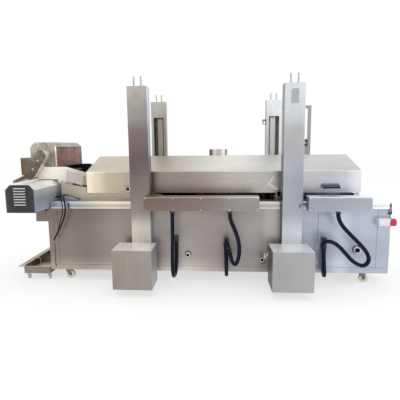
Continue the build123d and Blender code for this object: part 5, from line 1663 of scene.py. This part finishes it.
@dataclass
class Fittings(SubAssembly):
    """The drains, the power inlet, the control post and the parking hooks."""

    front_y: float = -0.413
    drain_spots: tuple[Pair, ...] = ((-0.042, 0.343), (1.826, 0.415))
    drain_radii: Pair = (0.025, 0.032)
    drain_sides: int = 28
    ridges: Pair = (0.0004, 0.0016)
    ridge_start: float = 0.011
    ridge_step: float = 0.0014
    ridge_steps: int = 12
    drain_lip: tuple[Pair, ...] = ((0.001, 0.0335), (-0.0015, 0.0352), (-0.005, 0.0352))
    # The bore discs stand for the dark insides of the drains and the spout: painted shade.
    drain_bore: tuple[Pair, ...] = ((-0.0062, 0.030), (-0.0062, 0.0355))
    drain_gasket: tuple[Pair, ...] = ((0.013, 0.0), (0.013, 0.002), (0.0115, 0.003))
    bore_sides: int = 24
    spout_seat: Point = (0.787, -0.5125, 0.3250)
    spout_way: Point = (-0.28, -0.94, 0.10)
    spout_rim: tuple[Pair, ...] = ((0.0235, 0.0), (0.0235, 0.022), (0.0220, 0.024), (0.0192, 0.024))
    spout_bore: tuple[Pair, ...] = ((0.0190, 0.016), (0.0190, 0.0245))
    nut_seat: Point = (0.8505, -0.478, 0.3815)
    nut_radius: float = 0.0095
    nut_height: float = 0.007
    washer_seat: Point = (0.8505, -0.478, 0.3810)
    washer: tuple[Pair, ...] = ((0.0120, 0.0), (0.0120, 0.0012))
    washer_sides: int = 16
    collar_seat: Point = (2.1345, -0.456, 0.732)
    collar: tuple[Pair, ...] = ((0.0408, 0.004), (0.0418, 0.006), (0.0418, 0.012), (0.0408, 0.014))
    collar_sides: int = 28
    grip_x: float = 2.1520
    grip_circle: float = 0.0398
    grip_count: int = 16
    grip: tuple[Pair, ...] = ((0.0009, 0.0), (0.0014, 0.002), (0.0014, 0.034), (0.0009, 0.036))
    grip_sides: int = 6
    lid_xs: Pair = (2.026, 2.125)
    lid_zs: Pair = (0.701, 0.767)
    lid_y: float = -0.4850
    lid_depth: float = 0.0022
    lid_rim: float = 0.006
    lid_screw_xs: Pair = (2.034, 2.117)
    lid_screw_zs: Pair = (0.709, 0.759)
    lid_screw_radius: float = 0.0030
    switch_xs: Pair = (1.368, 1.575)
    switch_zs: Pair = (1.548, 1.644)
    switch_y: float = 0.732
    switch_depth: float = 0.007
    switch_round: float = 0.002
    key_xs: Pair = (1.396, 1.546)
    key_y: float = 0.725
    key_z: float = 1.596
    key_count: int = 4
    key: tuple[Pair, ...] = (
        (0.0125, 0.0), (0.0125, 0.003), (0.0100, 0.0035), (0.0095, 0.007), (0.0080, 0.008),
    )
    key_sides: int = 20
    saddle_outline: tuple[Pair, ...] = (
        (0.942, 1.932), (0.9865, 1.932), (0.9865, 1.914), (0.953, 1.914), (0.953, 1.886), (0.942, 1.886),
    )
    saddle_y: float = 0.7335
    saddle_depth: float = 0.036

    def dress(self) -> None:
        """Give the fittings their finishes."""
        paint_nodes(drain_steel, "drain_pipes", "drain_lever")
        paint_nodes(clamp_steel, "parking_hooks")
        paint_nodes(white_plastic, "power_inlet")
        paint_nodes(red_plastic, "inlet_nose")
        paint_nodes(control_enamel, "control_post")

    def build(self) -> None:
        """Build the drains' rims and gaskets, the inlet's trim, the switches and a hook's saddle."""
        self.drains()
        self.lever_nut()
        self.inlet()
        self.switches()
        saddle = bmesh.new()
        plate(saddle, self.saddle_outline, self.saddle_y, self.saddle_depth)
        add_piece("hook_saddle", saddle, oiled_steel, "base")

    def drains(self) -> None:
        """Build a rolled rim, a thread, a dark disc of painted shade in the bore and a gasket on each open
        drain.
        """
        rims, bore_shades, gaskets = bmesh.new(), bmesh.new(), bmesh.new()
        for (pipe_x, pipe_z), radius in zip(self.drain_spots, self.drain_radii):
            seat = (pipe_x, self.front_y, pipe_z)
            radii = (radius + self.ridges[0], radius + self.ridges[1])
            rim = thread(radii, self.ridge_start, self.ridge_step, self.ridge_steps)
            rim += [(radius + past, height) for past, height in self.drain_lip]
            lathe(rims, seat, TO_FRONT, rim, self.drain_sides)
            bore = [(radius + past, height) for past, height in self.drain_bore]
            lathe(bore_shades, seat, TO_FRONT, bore, self.bore_sides)
            gasket = [(radius + past, height) for past, height in self.drain_gasket]
            lathe(gaskets, seat, TO_FRONT, gasket, self.drain_sides)
        toward = Vector(self.spout_way).normalized()
        lathe(rims, self.spout_seat, toward, self.spout_rim, self.drain_sides)
        lathe(bore_shades, self.spout_seat, toward, self.spout_bore, self.bore_sides)
        add_piece("drain_rims", rims, polished_steel, "base")
        add_piece("drain_bore_shades", bore_shades, painted_bore_shade, "base")
        add_piece("drain_gaskets", gaskets, black_rubber, "base")

    def lever_nut(self) -> None:
        """Build the nut and the washer on the valve's lever."""
        cap = bmesh.new()
        hexagon(cap, self.nut_seat, UPRIGHT, self.nut_radius, self.nut_height)
        lathe(cap, self.washer_seat, UPRIGHT, self.washer, self.washer_sides)
        add_piece("lever_nut", cap, zinc_plate, "drain_lever")

    def inlet(self) -> None:
        """Build the inlet's collar, its lid seam and its corner screws."""
        collar = bmesh.new()
        lathe(collar, self.collar_seat, TO_RIGHT, self.collar, self.collar_sides)
        for grip_y, grip_z in ring(self.collar_seat[1:], self.grip_circle, self.grip_count):
            lathe(collar, (self.grip_x, grip_y, grip_z), TO_RIGHT, self.grip, self.grip_sides)
        add_piece("inlet_collar", collar, red_plastic, "base")
        lid = bmesh.new()
        border(lid, self.lid_xs, self.lid_zs, self.lid_y, -self.lid_depth, self.lid_rim)
        for screw_x in self.lid_screw_xs:
            for screw_z in self.lid_screw_zs:
                screw(lid, (screw_x, self.lid_y, screw_z), TO_FRONT, self.lid_screw_radius)
        add_piece("inlet_lid_trim", lid, white_plastic, "base")

    def switches(self) -> None:
        """Build the navy switch plate and its keys on the control box."""
        panel = bmesh.new()
        plate(panel, corners_of(self.switch_xs, self.switch_zs), self.switch_y, -self.switch_depth)
        soften(panel, self.switch_round)
        add_piece("switch_plate", panel, navy_plastic, "base")
        keys = bmesh.new()
        for key_x in row(*self.key_xs, self.key_count):
            lathe(keys, (key_x, self.key_y, self.key_z), TO_FRONT, self.key, self.key_sides)
        add_piece("switch_keys", keys, zinc_plate, "base")


@dataclass
class ScraperDrive(SubAssembly):
    """The crumb scraper's shaft, its louvred motor cover and the two cut leads."""

    leads: tuple[Cord, ...] = (
        Cord(
            "motor_lead_thick",
            (
                (-1.626, -0.260, 0.987), (-1.566, -0.260, 0.987), (-1.495, -0.360, 1.007),
                (-1.453, -0.440, 1.019), (-1.423, -0.488, 0.980), (-1.410, -0.492, 0.890),
                (-1.426, -0.488, 0.800), (-1.476, -0.480, 0.690), (-1.536, -0.474, 0.590),
                (-1.580, -0.470, 0.514),
            ),
            0.840, 0.018, FarEnd.BARE, Stiffness.MEDIUM,
        ),
        Cord(
            "motor_lead_thin",
            (
                (-1.626, -0.305, 0.981), (-1.576, -0.305, 0.981), (-1.510, -0.395, 0.992),
                (-1.469, -0.465, 0.997), (-1.445, -0.501, 0.955), (-1.436, -0.505, 0.880),
                (-1.454, -0.505, 0.790), (-1.485, -0.503, 0.710), (-1.502, -0.503, 0.632),
            ),
            0.627, 0.011, FarEnd.BARE, Stiffness.MEDIUM,
        ),
    )

    def dress(self) -> None:
        """Give the scraper drive's solids their finishes."""
        paint_nodes(cover_steel, "motor_cover")
        paint_nodes(turned_steel, "scraper_shaft")

    def build(self) -> None:
        """Build the two leads."""
        for lead in self.leads:
            lead.build()


@dataclass
class RunningGear(SubAssembly):
    """The casters and the crumb tray on its rollers."""

    corners: tuple[str, ...] = ("front_left", "front_right", "rear_left", "rear_right")
    axles: tuple[Pair, ...] = ((-1.477, -0.318), (1.958, -0.318), (-1.477, 0.599), (1.958, 0.599))
    axle_z: float = 0.050
    fork_half: float = 0.034
    nut_radius: float = 0.0085
    nut_height: float = 0.006
    wheel_half: float = 0.018
    hub_cap: tuple[Pair, ...] = ((0.019, 0.0), (0.019, 0.0006), (0.015, 0.0012), (0.011, 0.0008))
    hub_sides: int = 24
    bow_points: tuple[Point, ...] = (
        (-1.995, -0.402, 0.150), (-1.993, -0.365, 0.190), (-1.950, -0.335, 0.236),
        (-1.838, -0.330, 0.252), (-1.812, -0.365, 0.196), (-1.812, -0.402, 0.150),
    )
    bow_bend: float = 0.35
    bow_steps: int = 6
    bow_radius: float = 0.0045
    bow_sides: int = 10
    shortest_run: float = 0.0005

    def dress(self) -> None:
        """Give the running gear its finishes."""
        for corner in self.corners:
            paint_nodes(pressed_steel, f"caster_fork_{corner}")
            paint_nodes(cream_nylon, f"caster_wheel_{corner}")
        paint_nodes(tray_steel, "tray_pan")
        paint_nodes(zinc_plate, "tray_forks")
        paint_nodes(cream_nylon, "tray_wheels_front", "tray_wheels_rear")

    def build(self) -> None:
        """Build the tray's wire bow, the casters' axle nuts and the wheels' hub caps."""
        self.bow()
        for corner, (axle_x, axle_y) in zip(self.corners, self.axles):
            nuts, caps = bmesh.new(), bmesh.new()
            for sign in BOTH_HANDS:
                outward = Vector((0.0, sign, 0.0))
                nut_seat = (axle_x, axle_y + sign * self.fork_half, self.axle_z)
                hexagon(nuts, nut_seat, outward, self.nut_radius, self.nut_height)
                cap_seat = (axle_x, axle_y + sign * self.wheel_half, self.axle_z)
                lathe(caps, cap_seat, outward, self.hub_cap, self.hub_sides)
            add_piece(f"axle_nuts_{corner}", nuts, zinc_plate, f"fork_{corner}")
            add_piece(f"hub_caps_{corner}", caps, pressed_steel, f"wheel_{corner}")

    def bow(self) -> None:
        """Build the bent wire bow that the tray is drawn out by."""
        places = [Vector(place) for place in self.bow_points]
        smooth = [places[0]]
        for before, corner, after in zip(places, places[1:], places[2:]):
            start, end = corner.lerp(before, self.bow_bend), corner.lerp(after, self.bow_bend)
            for share in row(0.0, 1.0, self.bow_steps):
                smooth.append(start.lerp(corner, share).lerp(corner.lerp(end, share), share))
        smooth.append(places[-1])
        wire = Bundle()
        for start, end in zip(smooth, smooth[1:]):
            if (end - start).length > self.shortest_run:
                wire.wire(start, end, self.bow_radius, self.bow_sides)
        wire.piece("tray_bow", tray_steel, "tray", "stainless_sheet")


@dataclass
class Conveyor(SubAssembly):
    """The lift-out conveyor with its belt, drive cover, chain guard and chute."""

    head: Pair = (-1.905, 1.255)
    tail: Pair = (1.7995, 0.775)
    drive: Pair = (-1.760, 1.478)
    head_radius: float = 0.0655
    tail_radius: float = 0.0535
    upper_bends: Pair = (-1.5116, 0.1399)
    lower_bends: Pair = (-1.5324, 0.1191)
    edges: Pair = (-0.1945, 0.4755)
    rod_pitch: float = 0.024
    rod_radius: float = 0.0012
    rod_sides: int = 5
    knot_count: int = 67
    knot_inset: float = 0.004
    wire_lift: float = 0.0013
    wire_radius: float = 0.0009
    wire_sides: int = 3
    guard_y: float = -0.313
    bolt_shares: Pair = (0.28, 0.72)
    bolt_washer: tuple[Pair, ...] = ((0.0125, 0.0), (0.0125, 0.002), (0.010, 0.0025))
    washer_sides: int = 16
    bolt_radius: float = 0.0105
    bolt_height: float = 0.009
    lugs_at: tuple[tuple[Pair, Pair], ...] = (
        ((-0.768, -0.717), (1.053, 1.106)), ((0.959, 1.024), (0.985, 1.054)),
    )
    lug_faces: Pair = (-0.313, 0.594)
    lug_rim: float = 0.006
    lug_rim_depth: float = 0.0012
    # The dark plates set back in the lugs' bores are painted shade.
    bore_inset: float = 0.005
    bore_back: float = 0.006
    bore_depth: float = 0.003
    apron_outline: tuple[Pair, ...] = (
        (-1.615, 1.155), (-1.5385, 1.155), (-1.5385, 1.060),
        (-1.440, 1.060), (-1.440, 1.195), (-1.615, 1.195),
    )
    apron_faces: Pair = (-0.215, 0.496)
    apron_sheet: float = 0.0015

    def dress(self) -> None:
        """Give the conveyor's solids their finishes."""
        paint_nodes(frame_steel, "conveyor_frames")
        paint_nodes(head_steel, "head_cover")
        paint_nodes(guard_steel, "chain_guard")
        paint_nodes(chute_steel, "discharge_chute")
        paint_nodes(belt_wire, "mesh_belt")
        paint_nodes(motor_enamel, "drive_gearmotor")
        paint_nodes(turned_steel, "head_shaft", "tail_shaft")

    def build(self) -> None:
        """Build the belt's wires, the guard's bolt heads, the lugs' ends and the drip sheets."""
        self.belt()
        self.bolts()
        self.lugs()
        self.apron()

    def belt(self) -> None:
        """Build the cross rods and the zigzag wires between them."""
        (head_x, head_z), (tail_x, tail_z) = self.head, self.tail
        head_top, head_foot = head_z + self.head_radius, head_z - self.head_radius
        tail_top, tail_foot = tail_z + self.tail_radius, tail_z - self.tail_radius
        (upper_left, upper_right), (lower_left, lower_right) = self.upper_bends, self.lower_bends
        upper = ((head_x, head_top), (upper_left, head_top), (upper_right, tail_top), (tail_x, tail_top))
        lower = ((tail_x, tail_foot), (lower_right, tail_foot), (lower_left, head_foot), (head_x, head_foot))
        rounds = (
            (self.tail, self.tail_radius, pi / 2, -pi / 2),
            (self.head, self.head_radius, -pi / 2, -3 * pi / 2),
        )
        places = loop_points((upper, lower), rounds, self.rod_pitch)
        near_y, far_y = self.edges
        near_edge, far_edge = Vector((0.0, near_y, 0.0)), Vector((0.0, far_y, 0.0))
        knots = row(near_y + self.knot_inset, far_y - self.knot_inset, self.knot_count)
        wires = Bundle()
        for (start, rise), (end, far_rise) in zip(places, (*places[1:], places[0])):
            wires.wire(start + near_edge, start + far_edge, self.rod_radius, self.rod_sides)
            for number, (knot, following) in enumerate(zip(knots, knots[1:])):
                odd = number % 2
                lift = self.wire_lift if odd else -self.wire_lift
                near = start + rise * lift + Vector((0.0, knot if odd else following, 0.0))
                far = end - far_rise * lift + Vector((0.0, following if odd else knot, 0.0))
                wires.wire(near, far, self.wire_radius, self.wire_sides, False)
        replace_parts(wires.piece("belt_wires", belt_wire, "conveyor", "belt_wire"), "mesh_belt")

    def bolts(self) -> None:
        """Build the heads of the guard's two bolts."""
        shape = bmesh.new()
        (head_x, head_z), (drive_x, drive_z) = self.head, self.drive
        run_x, run_z = drive_x - head_x, drive_z - head_z
        for share in self.bolt_shares:
            seat = (head_x + run_x * share, self.guard_y, head_z + run_z * share)
            lathe(shape, seat, TO_FRONT, self.bolt_washer, self.washer_sides)
            hexagon(shape, seat, TO_FRONT, self.bolt_radius, self.bolt_height)
        add_piece("guard_bolts", shape, bright_plate, "conveyor")

    def lugs(self) -> None:
        """Build the bright ends of the lifting lugs and dark plates of painted shade in their bores."""
        rims, bore_shades = bmesh.new(), bmesh.new()
        for xs, zs in self.lugs_at:
            for face, outward in zip(self.lug_faces, BOTH_HANDS):
                border(rims, xs, zs, face, outward * self.lug_rim_depth, self.lug_rim)
                back = face - outward * self.bore_back
                plate(bore_shades, corners_of(xs, zs, self.bore_inset), back, -outward * self.bore_depth)
        add_piece("lug_rims", rims, polished_steel, "conveyor")
        add_piece("lug_bore_shades", bore_shades, black_rubber, "conveyor")

    def apron(self) -> None:
        """Build the thin drip sheets that hang from the side frames into the trough's end."""
        shape = bmesh.new()
        for face, outward in zip(self.apron_faces, BOTH_HANDS):
            plate(shape, self.apron_outline, face, outward * self.apron_sheet)
        add_piece("drip_sheets", shape, frame_steel, "conveyor")


@dataclass
class Hood(SubAssembly):
    """The gabled hood with its collar, carriages, handle and hooks."""

    handle_xs: Pair = (1.462, 1.648)
    face_y: float = -0.306
    cover_slope: tuple[Pair, ...] = (
        (0.0, 1.138), (-0.050, 1.104), (-0.050, 1.100), (-0.046, 1.100), (0.0, 1.131),
    )
    # The dark lip is painted shadow under the handle cover's edge.
    lip_shadow_edge: tuple[Pair, ...] = ((-0.043, 1.1035), (-0.052, 1.1035), (-0.052, 1.087), (-0.043, 1.087))
    lip_round: float = 0.002

    def dress(self) -> None:
        """Give the hood's solids their finishes."""
        paint_nodes(hood_steel, "hood_shell", "lift_carriages")
        paint_nodes(collar_steel, "exhaust_collar")
        paint_nodes(black_plastic, "hood_handle")
        paint_nodes(hook_steel, "front_hook", "rear_hook")

    def build(self) -> None:
        """Build the sloping cover over the handle's bow and the dark lip of painted shadow under its edge.
        """
        left, right = self.handle_xs
        run = Vector((right - left, 0.0, 0.0))
        cover, lip_shadow = bmesh.new(), bmesh.new()
        prism(cover, [(left, self.face_y + out, height) for out, height in self.cover_slope], run)
        add_piece("handle_cover", cover, handle_steel, "hood")
        prism(lip_shadow, [(left, self.face_y + out, height) for out, height in self.lip_shadow_edge], run)
        soften(lip_shadow, self.lip_round)
        add_piece("handle_lip_shadow", lip_shadow, black_rubber, "hood")


# Studio


@dataclass(frozen=True)
class SoftBox:
    """A soft lamp that faces a point and leaves no glint of itself."""

    name: str
    place: Point
    target: Point
    size: Pair
    power: float

    def hang(self) -> None:
        """Put the lamp in the scene."""
        data = bpy.data.lights.new(self.name, "AREA")
        data.shape = "RECTANGLE"
        data.size, data.size_y = self.size
        data.energy = self.power
        lamp = bpy.data.objects.new(self.name, data)
        lamp.location = self.place
        aim = Vector(self.target) - Vector(self.place)
        lamp.rotation_euler = aim.to_track_quat("-Z", "Y").to_euler()
        lamp.visible_glossy = False
        bpy.context.scene.collection.objects.link(lamp)


@dataclass
class Studio:
    """The camera, the pale floor and the soft light."""

    eye: Point = (0.3015, -3.8948, 1.5689)
    yaw: float = 0.0605
    pitch: float = 0.1184
    roll: float = -0.0104
    lens: float = 28.47
    sensor: float = 36.0
    shift: Pair = (0.0028, -0.0413)
    floor_half: float = 30.0
    floor_cells: int = 8
    world_white: Colour = (1.0, 1.0, 1.0)
    world_level: float = 1.0
    lamps: tuple[SoftBox, ...] = (
        SoftBox("overhead_box", (0.2, -0.6, 5.0), (0.2, 0.1, 0.0), (5.5, 3.5), 60.0),
        SoftBox("front_box", (1.2, -6.0, 3.4), (0.2, 0.0, 0.9), (5.0, 2.5), 40.0),
    )

    def build(self) -> None:
        """Set the camera, the floor and the lights."""
        self.camera()
        self.floor()
        self.world()
        for lamp in self.lamps:
            lamp.hang()
        bpy.context.scene.view_settings.view_transform = "Standard"

    def camera(self) -> None:
        """Set the camera where the photograph was taken from."""
        data = bpy.data.cameras.new("photographer")
        data.sensor_width = self.sensor
        data.lens = self.lens
        data.shift_x, data.shift_y = self.shift
        right = Vector((cos(self.yaw), sin(self.yaw), 0.0))
        level = cos(self.pitch)
        forward = Vector((-sin(self.yaw) * level, cos(self.yaw) * level, -sin(self.pitch)))
        down = forward.cross(right)
        lean, upright = sin(self.roll), cos(self.roll)
        axis_x = upright * right - lean * down
        axis_y = -(lean * right + upright * down)
        camera = bpy.data.objects.new("photographer", data)
        turn = Matrix((axis_x, axis_y, -forward)).transposed().to_4x4()
        camera.matrix_world = Matrix.Translation(self.eye) @ turn
        bpy.context.scene.collection.objects.link(camera)
        bpy.context.scene.camera = camera

    def floor(self) -> None:
        """Lay a wide pale floor that keeps the object's shadow."""
        shape = bmesh.new()
        cells = self.floor_cells
        bmesh.ops.create_grid(shape, x_segments=cells, y_segments=cells, size=self.floor_half)
        mesh = bpy.data.meshes.new("floor")
        shape.to_mesh(mesh)
        shape.free()
        mesh.materials.append(StudioFloor("pale_floor").material())
        floor = bpy.data.objects.new("floor", mesh)
        bpy.context.scene.collection.objects.link(floor)

    def world(self) -> None:
        """Make the world an even white."""
        world = bpy.data.worlds.new("studio")
        world.use_nodes = True
        background = next(node for node in world.node_tree.nodes if node.type == "BACKGROUND")
        background.inputs["Color"].default_value = (*self.world_white, 1.0)
        background.inputs["Strength"].default_value = self.world_level
        bpy.context.scene.world = world


def main() -> None:
    """Build and dress every sub-assembly, then set the studio and note the sizes."""
    logging.basicConfig(level=logging.INFO, format="%(name)s: %(message)s")
    assemblies: tuple[SubAssembly, ...] = (
        Body(),
        Hoist(),
        Heaters(),
        Fittings(),
        ScraperDrive(),
        RunningGear(),
        Conveyor(),
        Hood(),
    )
    for assembly in assemblies:
        assembly.dress()
        assembly.build()
        log.info("dressed %s", type(assembly).__name__)
    Studio().build()


if __name__ == "__main__":
    main()
